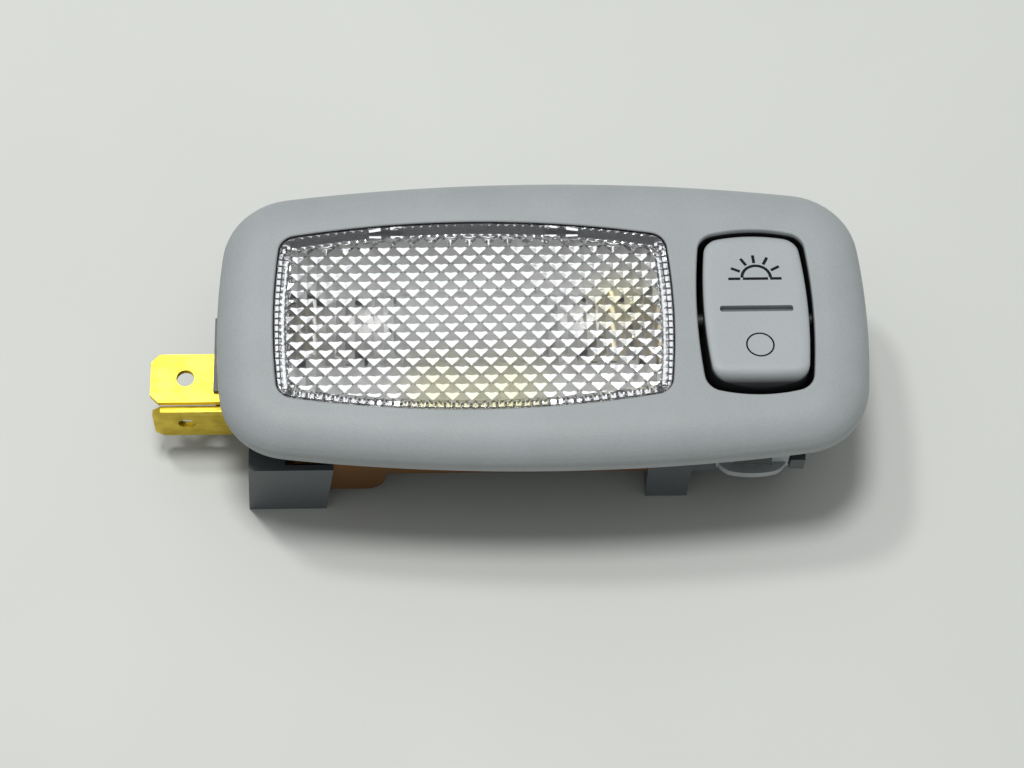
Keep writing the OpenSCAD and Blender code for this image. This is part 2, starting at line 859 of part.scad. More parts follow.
// The supply terminal: a level blade that steps down to the housing's floor
module supply_blank(grow) {
    z = supply_z - blade_t / 2;
    pad_mid = floor_z + blade_t / 2;
    path = [
        [blade_tip_x - grow, z],
        [supply_drop_x, z],
        [supply_drop_x, pad_mid],
        [supply_end_x, pad_mid]];
    intersection() {
        side_profile(ribbon(path, blade_t + 2 * grow), -house_b, house_b);
        union() {
            translate([0, supply_y, 0])
                slab(blade_tip(blade_tip_x - grow, supply_drop_x - past, blade_w + 2 * grow), foot_z, 0);
            block([supply_drop_x - 2 * past, supply_y - blade_w / 2 - grow, foot_z],
                [supply_end_x + past, pad_b + grow, 0]);
        }
    }
}

module supply_terminal() {
    color([0.85, 0.7, 0.25])
        difference() {
            supply_blank(0);
            translate([blade_tip_x + blade_hole_in, supply_y, supply_z - blade_t - past])
                cylinder(h = blade_t + 2 * past, r = blade_hole_r, $fn = 32);
            rivet_hole(rivet_x[0]);
        }
}

// The earth strip: an upright blade, a run along the housing's side and a switch finger
module earth_blank(grow) {
    path = [[earth_tip_x - grow, earth_y], [earth_jog_x[0], earth_y], [earth_jog_x[1], earth_run_y],
        [earth_turn_x[0], earth_run_y], [earth_turn_x[1], earth_in_y], [finger_x, earth_in_y],
        [finger_x, finger_y]];
    step_x = earth_step_x + grow;
    step_z = earth_deep_z + earth_step[1] - grow;
    side = concat(
        [[earth_side_x[0], earth_run_z[1] + grow], [earth_side_x[0], earth_deep_z - grow]],
        arc_down(step_x - earth_step[0], step_z, earth_step),
        [[step_x, earth_run_z[0] - grow], [earth_side_x[1], earth_run_z[0] - grow],
            [earth_side_x[1], earth_run_z[1] + grow]]);
    intersection() {
        slab(ribbon(path, blade_t + 2 * grow), foot_z, 0);
        union() {
            translate([0, 0, earth_top - blade_w / 2])
                side_profile(blade_tip(earth_tip_x - grow, earth_side_x[0] + past, blade_w + 2 * grow),
                    -bezel_w / 2, 0);
            side_profile(side, -bezel_w / 2, 0);
            block([earth_side_x[1] - past, -bezel_w / 2, earth_in_z[0] - grow],
                [finger_x + past, 0, earth_in_z[1] + grow]);
        }
    }
}

// A rounded lower corner of a stamping: a quarter of an ellipse
function arc_down(x, z, size) =
    [for (i = [0:steps_corner])
        let (a = 90 * i / steps_corner) [x + size[0] * sin(a), z - size[1] * cos(a)]];

module earth_strip() {
    color([0.85, 0.7, 0.25])
        difference() {
            earth_blank(0);
            translate([earth_tip_x + earth_hole_in, earth_y - past, earth_top - blade_w / 2])
                rotate([-90, 0, 0])
                    cylinder(h = 2 * past, r = blade_hole_r, $fn = 32);
        }
}

// The hole in a contact leaf that a cap's point seats in
module cap_seat(x) {
    translate([x - past, 0, bulb_z])
        rotate([0, 90, 0])
            cylinder(h = 2 * past, r = cap_tip_r + seat_play, $fn = 48);
}

module lamp_contact_left() {
    x = bulb_x - leaf_x;
    path = [[rivet_x[0] - leaf_foot, leaf_z], [x - leaf_lean, leaf_z], [x, leaf_top]];
    color([0.85, 0.66, 0.3])
        difference() {
            side_profile(ribbon(path, leaf_t), -pad_b, pad_b);
            cap_seat(x - seat_lean);
            rivet_hole(rivet_x[0]);
        }
}

module lamp_contact_right() {
    x = bulb_x + leaf_x;
    leaf = [[x, leaf_top], [x + leaf_lean, leaf_z], [left_finger_x - leaf_t, leaf_z]];
    finger = [
        [left_finger_x - finger_foot, leaf_z],
        [left_finger_x, leaf_z],
        [left_finger_x, earth_in_z[1]]];
    color([0.85, 0.66, 0.3])
        difference() {
            union() {
                side_profile(ribbon(leaf, leaf_t), -pad_b, pad_b);
                side_profile(ribbon(finger, leaf_t), -pad_b, finger_y);
            }
            cap_seat(x + seat_lean);
            rivet_hole(rivet_x[1]);
        }
}

module contact_rivets() {
    color([0.75, 0.75, 0.72])
        for (x = rivet_x)
            translate([x, 0, 0]) {
                translate([0, 0, house_z0 - rivet_head_h])
                    cylinder(h = rivet_head_h, r = rivet_head_r, $fn = 32);
                translate([0, 0, house_z0 - eps])
                    cylinder(h = pad_z + leaf_t - house_z0 + 2 * eps, r = rivet_r, $fn = 32);
                translate([0, 0, pad_z + leaf_t])
                    cylinder(h = rivet_head_h, r = rivet_head_r, $fn = 32);
            }
}

bezel();
lens();
rocker();
housing();
reflector();
bulb_glass();
bulb_cap_left();
bulb_cap_right();
bulb_filament();
bulb_leads();
supply_terminal();
earth_strip();
lamp_contact_left();
lamp_contact_right();
contact_bridge();
contact_rivets();
detent_spring();
detent_ball();
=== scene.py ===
# %% [markdown]
# # A car interior light
#
# This lesson dresses a small clip-in ceiling lamp: a satin grey front moulding, a clear lens full
# of square prisms, a rocker switch, a slate housing and two brass blades. The construction model
# gives every piece its place and size. The lesson adds what makes them look real: soft edges,
# moulding grain, stamped metal and clear plastic, and it models the front and the rocker afresh,
# because their curves should be finer than the construction needs.

# %% Load the frame
from math import atan2, cos, degrees, pi, radians, sin, sqrt

import bmesh
import bpy
from mathutils import Matrix, Vector


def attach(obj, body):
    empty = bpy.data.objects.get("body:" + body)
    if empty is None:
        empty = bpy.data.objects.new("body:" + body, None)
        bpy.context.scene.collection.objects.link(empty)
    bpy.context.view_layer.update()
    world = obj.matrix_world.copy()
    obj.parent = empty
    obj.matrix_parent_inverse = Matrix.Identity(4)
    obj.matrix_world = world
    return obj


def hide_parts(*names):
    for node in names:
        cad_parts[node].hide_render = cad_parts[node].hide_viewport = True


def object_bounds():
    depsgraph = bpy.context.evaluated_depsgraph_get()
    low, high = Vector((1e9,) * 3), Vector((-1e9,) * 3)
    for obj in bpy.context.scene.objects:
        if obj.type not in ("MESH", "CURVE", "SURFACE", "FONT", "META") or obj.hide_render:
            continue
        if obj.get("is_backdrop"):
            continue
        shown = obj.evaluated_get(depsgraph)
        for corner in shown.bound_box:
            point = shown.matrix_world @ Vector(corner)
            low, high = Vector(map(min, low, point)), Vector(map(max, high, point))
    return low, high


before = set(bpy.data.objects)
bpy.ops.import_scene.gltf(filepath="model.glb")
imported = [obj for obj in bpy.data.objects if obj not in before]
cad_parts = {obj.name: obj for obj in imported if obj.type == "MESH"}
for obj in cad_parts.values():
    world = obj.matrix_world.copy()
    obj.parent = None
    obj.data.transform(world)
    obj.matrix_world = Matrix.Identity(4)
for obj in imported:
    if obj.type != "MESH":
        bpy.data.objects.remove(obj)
cad_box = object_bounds()
scene = bpy.context.scene
MM = 0.001
print("nodes:", len(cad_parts))
print("size in mm:", [round(s / MM, 1) for s in cad_box[1] - cad_box[0]])

# %% [markdown]
# ## The camera
#
# The photograph was taken from about 31 cm away, 64 degrees above the table and a little to the
# left of the lamp's middle. A camera could be aimed with a Track To constraint, but this one also
# leans by a few degrees, so its turn is built from three rotations: a yaw, a pitch and a roll.

# %% Camera
IMAGE_W = 1024
CAMERA_PLACE = Vector((-12.26, -142.0, 272.5)) * MM
CAMERA_ELEVATION = radians(63.66)
CAMERA_YAW = radians(-3.617)
CAMERA_ROLL = radians(2.607)
FOCAL_PIXELS = 2638.5

camera_data = bpy.data.cameras.new("camera")
camera_data.sensor_width = 36
camera_data.lens = FOCAL_PIXELS / IMAGE_W * camera_data.sensor_width
camera_data.clip_start = 0.01
camera = bpy.data.objects.new("camera", camera_data)
scene.collection.objects.link(camera)
camera.matrix_world = (
    Matrix.Translation(CAMERA_PLACE)
    @ Matrix.Rotation(CAMERA_YAW, 4, "Z")
    @ Matrix.Rotation(pi / 2 - CAMERA_ELEVATION, 4, "X")
    @ Matrix.Rotation(CAMERA_ROLL, 4, "Z")
)
scene.camera = camera
print("lens in mm:", round(camera_data.lens, 1))

# %% [markdown]
# ## Shader maths as plain Python
#
# A procedural material is a sum of patterns. Wiring each sum by hand takes pages, so a small class
# wraps an output socket and turns +, - and * into Math nodes. A second class makes any other
# node in one call: first its settings, then the values or wires of its inputs.

# %% Wires that can be added and multiplied
def maths(recipe, operation, *values):
    """The output of a new Math node with the values or wires on its inputs."""
    return recipe.node("ShaderNodeMath", {"operation": operation}, dict(enumerate(values)))


class Wire:
    """An output socket. Arithmetic on it adds Math nodes to the same recipe."""

    def __init__(self, recipe, socket):
        self.recipe = recipe
        self.socket = socket

    def math(self, operation, *values):
        """One Math node whose inputs are this wire and the values."""
        return maths(self.recipe, operation, self, *values)

    def __add__(self, other):
        return self.math("ADD", other)

    def __sub__(self, other):
        return self.math("SUBTRACT", other)

    def __mul__(self, other):
        return self.math("MULTIPLY", other)

    def __radd__(self, other):
        return maths(self.recipe, "ADD", other, self)

    def __rsub__(self, other):
        return maths(self.recipe, "SUBTRACT", other, self)

    def __rmul__(self, other):
        return maths(self.recipe, "MULTIPLY", other, self)


# %% A recipe of nodes
class Recipe:
    """The emptied node tree of a material or a world, with short ways to fill it."""

    def __init__(self, owner):
        self.owner = owner
        owner.use_nodes = True
        self.tree = owner.node_tree
        self.tree.nodes.clear()

    def node(self, kind, settings=None, inputs=None, output=0):
        """Any node: its settings first, then its sockets, by name or number. Gives one output."""
        made = self.tree.nodes.new(kind)
        for name, value in (settings or {}).items():
            setattr(made, name, value)
        for name, value in (inputs or {}).items():
            if isinstance(value, Wire):
                self.tree.links.new(value.socket, made.inputs[name])
            else:
                made.inputs[name].default_value = value
        return Wire(self, made.outputs[output]) if made.outputs else None

    def noise(self, size, detail=2.0, stretch=(1, 1, 1)):
        """Soft noise from 0 to 1 whose lumps are about size across, in metres."""
        place = self.node("ShaderNodeTexCoord", output="Object")
        if stretch != (1, 1, 1):
            place = self.node("ShaderNodeMapping", inputs={"Vector": place, "Scale": stretch})
        return self.node(
            "ShaderNodeTexNoise", inputs={"Vector": place, "Scale": 1 / size, "Detail": detail})

    def band(self, wire, low, high):
        """0 below low, 1 above high and straight between."""
        return self.node(
            "ShaderNodeMapRange", inputs={"Value": wire, "From Min": low, "From Max": high})

    def clouds(self, size, detail, low, high):
        """Noise whose middle part, from low to high, is spread over 0 to 1."""
        return self.band(self.noise(size, detail), low, high)

    def blend(self, share, first, second):
        """The first colour where share is 0 and the second where it is 1."""
        return self.node(
            "ShaderNodeMix", {"data_type": "RGBA"}, {0: share, 6: first, 7: second}, output=2)

    def bump(self, height, depth):
        """A normal for a surface that rises by depth, in metres, where height goes from 0 to 1."""
        return self.node("ShaderNodeBump", inputs={"Height": height, "Distance": depth})

    def skin(self, **sockets):
        """The Principled shader, from its sockets' names with _ for each space."""
        named = {name.replace("_", " "): value for name, value in sockets.items()}
        return self.node("ShaderNodeBsdfPrincipled", inputs=named)

    def done(self, shader, end="ShaderNodeOutputMaterial"):
        """Wires the shader to the output and hands back the material or world."""
        self.node(end, inputs={"Surface": shader})
        print(self.owner.name, "has", len(self.tree.nodes), "nodes")
        return self.owner


def material(name):
    return Recipe(bpy.data.materials.new(name))


# %% [markdown]
# ## Places that shapes and finishes share
#
# The lens and the rocker sit in two windows of the front, and the rocker leans on its pivot. The
# shapes need these places, and so do the finishes that turn dark inside a window. Each could have
# its own numbers, but a window that is moved would then leave its shade behind.

# %% Windows and tilt
LENS_X = -8.04 * MM
ROCKER_X = 24.49 * MM
ROCKER_TILT = radians(6.5)
print("windows at x in mm:", [round(x / MM, 2) for x in (LENS_X, ROCKER_X)])

# %% [markdown]
# ## Satin moulded plastic
#
# The front and the rocker are moulded in a light, slightly blue grey. The tool that moulds them is
# spark eroded, so the skin is a very fine even grain that spreads the highlights. A bump from a
# noise with lumps of about 0.2 mm gives that grain. A wider noise shifts the shade by a hair, as
# pigment does, and the roughness follows the grain, so that its tops shine a little more.

# %% Moulded plastic
# BLACK is the colour of the painted shade in the windows and on the rocker's flanks.
BLACK = (0.006, 0.006, 0.007, 1)
GRAIN_GLOSS = 0.14


def moulded(name, pale, deep, roughness, grain_size, grain_depth,
            shade=None, shaded=BLACK, bending=1.48):
    """A moulded plastic whose shade drifts between two colours under a fine eroded grain."""
    r = material(name)
    grain = r.noise(grain_size, 2)
    cloud = r.clouds(size=7 * MM, detail=3, low=0.35, high=0.65)
    speck = r.clouds(size=0.3 * MM, detail=1, low=0.3, high=0.7)
    colour = r.blend(cloud * 0.5 + speck * 0.5, pale, deep)
    # Where shade gives 1 the colour turns to shaded: painted shade in the windows and on the
    # rocker, white spray in the housing.
    if shade:
        colour = r.blend(shade(r), colour, shaded)
    return r.done(r.skin(
        Base_Color=colour, Roughness=roughness + GRAIN_GLOSS * (0.5 - grain), IOR=bending,
        Normal=r.bump(grain, grain_depth)))


# %% [markdown]
# The walls of both windows and the rocker's flanks lie in the dark of narrow gaps, so shade is
# painted on them: black from just below their rims. The housing is sprayed white round the bulb,
# so that the lens looks evenly bright. Each could be a second material on a few faces, but a test
# of Object coordinates against a box and a plane needs no such faces, and its edge can be soft.

# %% Shades inside the windows
UP = (0, 0, 1)
WELL_SHADE = dict(half_x=7 * MM, half_y=10.9 * MM, clear=3.15 * MM, black=2.85 * MM)
PANE_SHADE = dict(half_x=23.2 * MM, half_y=12.24 * MM, clear=3.49 * MM, black=3.44 * MM)
CHAMBER_HALF = (24 * MM, 12 * MM)
CHAMBER_FLOOR = (-9 * MM, -10 * MM)
FLANK_HEIGHTS = (3.9 * MM, 2.9 * MM)


def under_plane(r, normal, clear, black):
    """1 below a plane and 0 above it, with a soft change between two heights along its normal."""
    place = r.node("ShaderNodeTexCoord", output="Object")
    height = r.node(
        "ShaderNodeVectorMath", {"operation": "DOT_PRODUCT"}, {0: place, 1: normal}, output=1)
    return 1 - r.band(height, black, clear)


def inside_box(r, centre_x, half_x, half_y):
    """1 inside an upright box on the lamp's middle line and 0 outside it."""
    place = r.node("ShaderNodeTexCoord", output="Object")
    away = r.node(
        "ShaderNodeVectorMath", {"operation": "SUBTRACT"}, {0: place, 1: (centre_x, 0, 0)})
    along = r.node("ShaderNodeSeparateXYZ", inputs={0: away}).math("ABSOLUTE")
    across = r.node("ShaderNodeSeparateXYZ", inputs={0: away}, output=1).math("ABSOLUTE")
    return along.math("LESS_THAN", half_x) * across.math("LESS_THAN", half_y)


def below_in_box(r, centre_x, half_x, half_y, clear, black):
    return inside_box(r, centre_x, half_x, half_y) * under_plane(r, UP, clear, black)


def window_shade(r):
    """Painted shade on the walls of the bezel's two windows, from just under their rims."""
    return below_in_box(r, ROCKER_X, **WELL_SHADE) + below_in_box(r, LENS_X, **PANE_SHADE)


def chamber_shade(r):
    """The housing's walls round the bulb, which are sprayed white."""
    above = 1 - under_plane(r, UP, *CHAMBER_FLOOR)
    return inside_box(r, LENS_X, *CHAMBER_HALF) * above


def flank_shade(r):
    """Painted shade on the rocker's flanks and pins, from the roll of its face down."""
    return under_plane(r, (0, sin(ROCKER_TILT), cos(ROCKER_TILT)), *FLANK_HEIGHTS)


# %% The plastics of this lamp
grey_plastic = moulded(
    "grey_plastic", (0.366, 0.395, 0.4, 1), (0.322, 0.348, 0.352, 1), roughness=0.5,
    grain_size=0.22 * MM, grain_depth=0.03 * MM, shade=window_shade)
# The rocker's flanks and pins turn black from just below its face: painted shade.
rocker_plastic = moulded(
    "rocker_plastic", (0.42, 0.452, 0.458, 1), (0.385, 0.416, 0.422, 1), roughness=0.5,
    grain_size=0.2 * MM, grain_depth=0.012 * MM, shade=flank_shade)
slate_plastic = moulded(
    "slate_plastic", (0.08, 0.092, 0.095, 1), (0.062, 0.072, 0.075, 1), roughness=0.42,
    grain_size=0.22 * MM, grain_depth=0.014 * MM, shade=chamber_shade, shaded=(0.62, 0.62, 0.6, 1))
mark_ink = moulded(
    "mark_ink", (0.01, 0.011, 0.012, 1), (0.016, 0.017, 0.018, 1), roughness=0.8,
    grain_size=0.1 * MM, grain_depth=0.004 * MM, bending=1.15)
# A matt black for the ring under the lens's border, which is painted shade.
border_painted_shade = moulded(
    "border_painted_shade", (0.008, 0.009, 0.014, 1), (0.014, 0.015, 0.02, 1), roughness=0.9,
    grain_size=0.25 * MM, grain_depth=0.04 * MM)

# %% [markdown]
# ## Clear lens and clear glass
#
# The lens is acrylic. Its prisms are real geometry. A ray that falls on them from above turns back
# at two of their slopes of 45 degrees, so they look white without any paint. Light from the lamps
# can't find its way through a refracting shell, so a Light Path node lets shadow rays pass as
# through a grey pane. Years over a hot bulb have yellowed the lens in a few soft spots, each a
# distance from a point. The bulb's glass is made the same way. It bends less and is a little
# milky, so that the bulb doesn't show as a dark shape behind the prisms.

# %% Clear plastic and glass
RIPPLE_SIZE = 2.5 * MM
RIPPLE_DEPTH = 0.01 * MM
HEAT_CORE = 0.2


def clear(name, tint, aged, hot_spots, bending, haze, passes, milk=0.0):
    """A clear solid, yellowed round its hot spots. Rays from lamps pass it unbent, in part."""
    r = material(name)
    ripple = r.noise(RIPPLE_SIZE, 2)
    place = r.node("ShaderNodeTexCoord", output="Object")
    heat = 0.0
    for spot, reach in hot_spots:
        away = r.node(
            "ShaderNodeVectorMath", {"operation": "DISTANCE"}, {0: place, 1: spot}, output=1)
        heat = heat + (1 - r.band(away, HEAT_CORE * reach, reach))
    solid = r.skin(
        Base_Color=r.blend(heat, tint, aged), Transmission_Weight=1 - milk, IOR=bending,
        Roughness=haze * r.band(ripple, 0.3, 0.8), Normal=r.bump(ripple, RIPPLE_DEPTH))
    pane = r.node("ShaderNodeBsdfTransparent", inputs={"Color": (passes, passes, passes, 1)})
    shadow = r.node("ShaderNodeLightPath", output="Is Shadow Ray")
    return r.done(r.node("ShaderNodeMixShader", inputs={0: shadow, 1: solid, 2: pane}))


LENS_HEAT = (
    (Vector((-12, -9, 3)) * MM, 6 * MM),
    (Vector((-4, -9, 3)) * MM, 6 * MM),
    (Vector((9, 2, 3)) * MM, 5 * MM),
)
BULB_HEAT = ((Vector((-8, 0, -4.8)) * MM, 6 * MM),)
clear_lens = clear(
    "clear_lens", (0.975, 0.98, 0.985, 1), (0.99, 0.97, 0.74, 1), LENS_HEAT,
    bending=1.49, haze=0.05, passes=0.29)
bulb_glass = clear(
    "bulb_glass", (0.99, 0.99, 0.98, 1), (0.95, 0.93, 0.9, 1), BULB_HEAT,
    bending=1.2, haze=0.02, passes=0.9, milk=0.3)

# %% [markdown]
# ## Stamped brass and the other metals
#
# The blades are punched from rolled brass strip. Rolling leaves fine streaks along the strip, so a
# noise is stretched along X, and old fingerprints dull the shine in soft clouds. Past the bezel's
# edge a ramp along X changes the colour of two of them: the supply terminal is tinned there, and
# the earth strip is painted dark brown, a painted shade for the dark under the bezel. The same
# recipe makes the bronze of the contacts, the nickel of the caps and leaves, the filament and the
# steel. The first two are pale and dull, so that they hardly show through the lens.

# %% Rolled and plated metals
ALONG_STRIP = (0.04, 1, 1)
EVEN = (1, 1, 1)
TARNISH_SIZE = 2.2 * MM
TARNISH_SPAN = (0.42, 0.68)
STREAK_SHARE = 0.3
STREAK_DEPTH = 0.006 * MM
ROUGHER = (0.16, 0.12)
INSIDE_X = (-33.5 * MM, -31 * MM)


def metal(name, bright, dull, roughness, streak_size, along=ALONG_STRIP, inside=None):
    """A rolled metal with streaks and clouds of tarnish, and another colour inside the lamp."""
    r = material(name)
    streak = r.noise(streak_size, 3, along)
    patch = r.noise(TARNISH_SIZE, 3) * (1 - STREAK_SHARE) + streak * STREAK_SHARE
    tarnish = r.band(patch, *TARNISH_SPAN)
    colour = r.blend(tarnish, bright, dull)
    # Inside the lamp: tin on the supply terminal, and a painted shade of dark brown on the earth
    # strip.
    if inside:
        place = r.node("ShaderNodeTexCoord", output="Object")
        depth = r.band(r.node("ShaderNodeSeparateXYZ", inputs={0: place}), *INSIDE_X)
        colour = r.blend(depth, colour, inside)
    return r.done(r.skin(
        Base_Color=colour, Metallic=1.0, Normal=r.bump(streak, STREAK_DEPTH),
        Roughness=roughness + ROUGHER[0] * streak + ROUGHER[1] * tarnish))


BRASS = dict(
    bright=(0.75, 0.58, 0.065, 1), dull=(0.55, 0.4, 0.045, 1), roughness=0.34,
    streak_size=0.2 * MM)
supply_brass = metal("supply_brass", **BRASS, inside=(0.74, 0.73, 0.7, 1))
# The earth strip's dark brown inside the lamp is painted shade, for the dark under the bezel.
earth_brass_painted_shade = metal("earth_brass_painted_shade", **BRASS, inside=(0.2, 0.095, 0.03, 1))
bronze = metal(
    "contact_bronze", (0.78, 0.73, 0.58, 1), (0.7, 0.64, 0.48, 1), roughness=0.4,
    streak_size=0.2 * MM)
nickel = metal(
    "cap_metal", (0.66, 0.65, 0.63, 1), (0.56, 0.55, 0.53, 1), roughness=0.5,
    streak_size=0.3 * MM, along=EVEN)
tungsten = metal(
    "filament", (0.5, 0.49, 0.48, 1), (0.4, 0.39, 0.39, 1), roughness=0.35,
    streak_size=0.05 * MM, along=EVEN)
steel = metal(
    "steel", (0.62, 0.62, 0.63, 1), (0.5, 0.5, 0.52, 1), roughness=0.15,
    streak_size=0.1 * MM, along=EVEN)


# %% White enamel
PEEL_SIZE = 0.6 * MM
PEEL_DEPTH = 0.01 * MM


def enamel():
    """White stoved enamel on the reflector, with a slight orange peel."""
    r = material("white_metal")
    peel = r.noise(PEEL_SIZE, 2)
    cloud = r.clouds(size=5 * MM, detail=2, low=0.3, high=0.7)
    return r.done(r.skin(
        Base_Color=r.blend(cloud, (0.83, 0.83, 0.81, 1), (0.77, 0.77, 0.76, 1)),
        Roughness=0.25 + 0.1 * peel, Coat_Weight=0.3, Normal=r.bump(peel, PEEL_DEPTH)))


white_enamel = enamel()

# %% [markdown]
# ## Table, light and background
#
# The lamp lies on a pale table under two soft round lights, one almost overhead and one further
# behind, which is why its shadow has two edges. A dim sky fills the rest. It is pale overhead and
# dark at the horizon, so what the bezel overhangs stays dark. Gloss, prisms and glass show that
# sky directly, so the rays that reach it without touching a matt surface see it brighter. An
# image of a room could do the same, but a ramp along the height is enough and needs no file.

# %% Table
TABLE_COLOUR = Vector((0.68, 0.70, 0.66))
TABLE_DARKER = 0.97
TABLE_SIZE = 2.0


def table_top():
    """A pale satin board with faint clouds, as wide as the side views need."""
    bm = bmesh.new()
    bmesh.ops.create_grid(bm, x_segments=1, y_segments=1, size=TABLE_SIZE)
    bmesh.ops.translate(bm, verts=bm.verts[:], vec=(0, 0, cad_box[0].z))
    mesh = bpy.data.meshes.new("table")
    bm.to_mesh(mesh)
    bm.free()
    r = material("table")
    cloud = r.clouds(size=60 * MM, detail=3, low=0.3, high=0.7)
    mesh.materials.append(r.done(r.skin(
        Base_Color=r.blend(cloud, (*TABLE_COLOUR, 1), (*TABLE_COLOUR * TABLE_DARKER, 1)),
        Roughness=0.55 + 0.05 * cloud)))
    top = bpy.data.objects.new("table", mesh)
    scene.collection.objects.link(top)
    top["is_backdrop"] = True


table_top()
print("table at z in mm:", round(cad_box[0].z / MM, 2))

# %% Lights
LIGHTS = (
    ("overhead", Vector((-0.05, 0.12, 0.72)), 0.18, 2.47),
    ("behind", Vector((-0.24, 0.27, 0.62)), 0.1, 1.15),
)


def studio_light(name, place, size, watts):
    """A round area light aimed at the lamp."""
    data = bpy.data.lights.new(name, "AREA")
    data.shape = "DISK"
    data.size = size
    data.energy = watts
    light = bpy.data.objects.new(name, data)
    scene.collection.objects.link(light)
    turn = (-place).to_track_quat("-Z", "Y").to_matrix().to_4x4()
    light.matrix_world = Matrix.Translation(place) @ turn


for name, place, size, watts in LIGHTS:
    studio_light(name, place, size, watts)
    print(name, "is", round(degrees(place.angle(Vector((0, 0, 1))))), "degrees from overhead")

# %% Sky
SKY_COLOUR = (0.97, 0.985, 1.0, 1)
SKY_AXIS = Vector((0, 0.3, 1)).normalized()
SKY_FILL = (0.09, 0.44)
SKY_SEEN = (0.1, 1.0)
SKY_HEIGHTS = (0.1, 0.65)
BACKDROP = 0.9


def sky():
    """A world that brightens with height, dim for matt surfaces and brighter for glossy ones."""
    r = Recipe(bpy.data.worlds.new("sky"))
    way = r.node("ShaderNodeTexCoord")
    aim = r.node(
        "ShaderNodeVectorMath", {"operation": "DOT_PRODUCT"}, {0: way, 1: SKY_AXIS}, output=1)
    fill_height = r.band(aim, 0, 1)
    fill = SKY_FILL[0] + SKY_FILL[1] * fill_height * fill_height
    height = r.node("ShaderNodeSeparateXYZ", inputs={0: way}, output=2)
    seen = SKY_SEEN[0] + SKY_SEEN[1] * r.band(height, *SKY_HEIGHTS)
    matt = r.node("ShaderNodeLightPath", output="Diffuse Depth").math("MINIMUM", 1.0)
    camera_ray = r.node("ShaderNodeLightPath", output="Is Camera Ray")
    lit = fill * matt + seen * (1 - matt)
    strength = BACKDROP * camera_ray + lit * (1 - camera_ray)
    return r.done(
        r.node("ShaderNodeBackground", inputs={"Color": SKY_COLOUR, "Strength": strength}),
        "ShaderNodeOutputWorld")


scene.world = sky()
scene.view_settings.view_transform = "Standard"

# %% [markdown]
# ## Helpers for solid pieces
#
# Most pieces of this lamp are plan outlines with a depth: bowed sides, bowed ends and round
# corners. Spinning one vertex about three centres in turn draws a quarter of such a barrel, two
# mirrors complete it, and an extrusion raises it. Solids are then joined and cut with Boolean
# modifiers, which is how the moulder's tool works too: a cavity less its cores.

# %% Barrel outlines
NEAR = 0.001 * MM
OUTLINE_STEPS = (8, 10, 24)


def crossing(c1, r1, c2, r2):
    """The outer meeting point of two circles in the XY plane."""
    gap = c2 - c1
    along = (gap.length_squared + r1 * r1 - r2 * r2) / (2 * gap.length)
    across = sqrt(r1 * r1 - along * along)
    unit = gap.normalized()
    return c1 + unit * along + Vector((unit.y, -unit.x, 0)) * across


def barrel(half_l, half_w, side_r, end_r, corner_r, inset=0.0, steps=OUTLINE_STEPS):
    """A bmesh of one flat face with bowed sides and ends, drawn in by inset."""
    side_c = Vector((0, half_w - side_r, 0))
    end_c = Vector((half_l - end_r, 0, 0))
    corner_c = crossing(side_c, side_r - corner_r, end_c, end_r - corner_r)
    end_turn = atan2(corner_c.y, corner_c.x - end_c.x)
    side_turn = atan2(corner_c.y - side_c.y, corner_c.x)
    turns = (end_turn, side_turn - end_turn, pi / 2 - side_turn)
    bm = bmesh.new()
    tip = bmesh.ops.create_vert(bm, co=(half_l - inset, 0, 0))["vert"][0]
    for centre, angle, count in zip((end_c, corner_c, side_c), turns, steps):
        spun = bmesh.ops.spin(bm, geom=[tip], cent=centre, axis=(0, 0, 1), angle=angle, steps=count)
        tip = next(v for v in spun["geom_last"] if isinstance(v, bmesh.types.BMVert))
    for axis in "XY":
        bmesh.ops.mirror(bm, geom=bm.verts[:] + bm.edges[:], axis=axis, merge_dist=NEAR)
    bmesh.ops.remove_doubles(bm, verts=bm.verts[:], dist=NEAR)
    bmesh.ops.contextual_create(bm, geom=bm.edges[:])
    return bm


def raised(bm, low, high):
    """Gives the flat faces in bm a depth from low to high."""
    bmesh.ops.translate(bm, verts=bm.verts[:], vec=(0, 0, low))
    made = bmesh.ops.extrude_face_region(bm, geom=bm.faces[:], use_keep_orig=True)
    top = [v for v in made["geom"] if isinstance(v, bmesh.types.BMVert)]
    bmesh.ops.translate(bm, verts=top, vec=(0, 0, high - low))
    bmesh.ops.recalc_face_normals(bm, faces=bm.faces[:])
    return bm


# %% Boxes, rods and copies
def blocks(*corners):
    """Boxes, each between its two corners."""
    bm = bmesh.new()
    for low, high in corners:
        low, high = Vector(low), Vector(high)
        place = Matrix.Translation((low + high) / 2) @ Matrix.Diagonal((*(high - low), 1))
        bmesh.ops.create_cube(bm, size=1.0, matrix=place)
    return bm


def rod(radius, start, end, sides=48):
    """A round rod between two points."""
    start, end = Vector(start), Vector(end)
    turn = (end - start).to_track_quat("Z", "Y").to_matrix().to_4x4()
    bm = bmesh.new()
    bmesh.ops.create_cone(
        bm, cap_ends=True, segments=sides, radius1=radius, radius2=radius,
        depth=(end - start).length, matrix=Matrix.Translation((start + end) / 2) @ turn)
    return bm


def moved(bm, x=0.0, y=0.0, z=0.0):
    """The same bmesh, shifted."""
    bmesh.ops.translate(bm, verts=bm.verts[:], vec=(x, y, z))
    return bm


def both_sides(bm):
    """Adds the mirror image on the lamp's other long side."""
    bmesh.ops.mirror(bm, geom=bm.verts[:] + bm.edges[:] + bm.faces[:], axis="Y", merge_dist=NEAR)
    bmesh.ops.recalc_face_normals(bm, faces=bm.faces[:])
    return bm


# %% Rounded edges
def soften(bm, edges, width, segments):
    """Rounds the edges over."""
    bmesh.ops.bevel(
        bm, geom=edges, offset=width, offset_type="OFFSET", segments=segments, profile=0.5,
        affect="EDGES", clamp_overlap=True, material=-1)


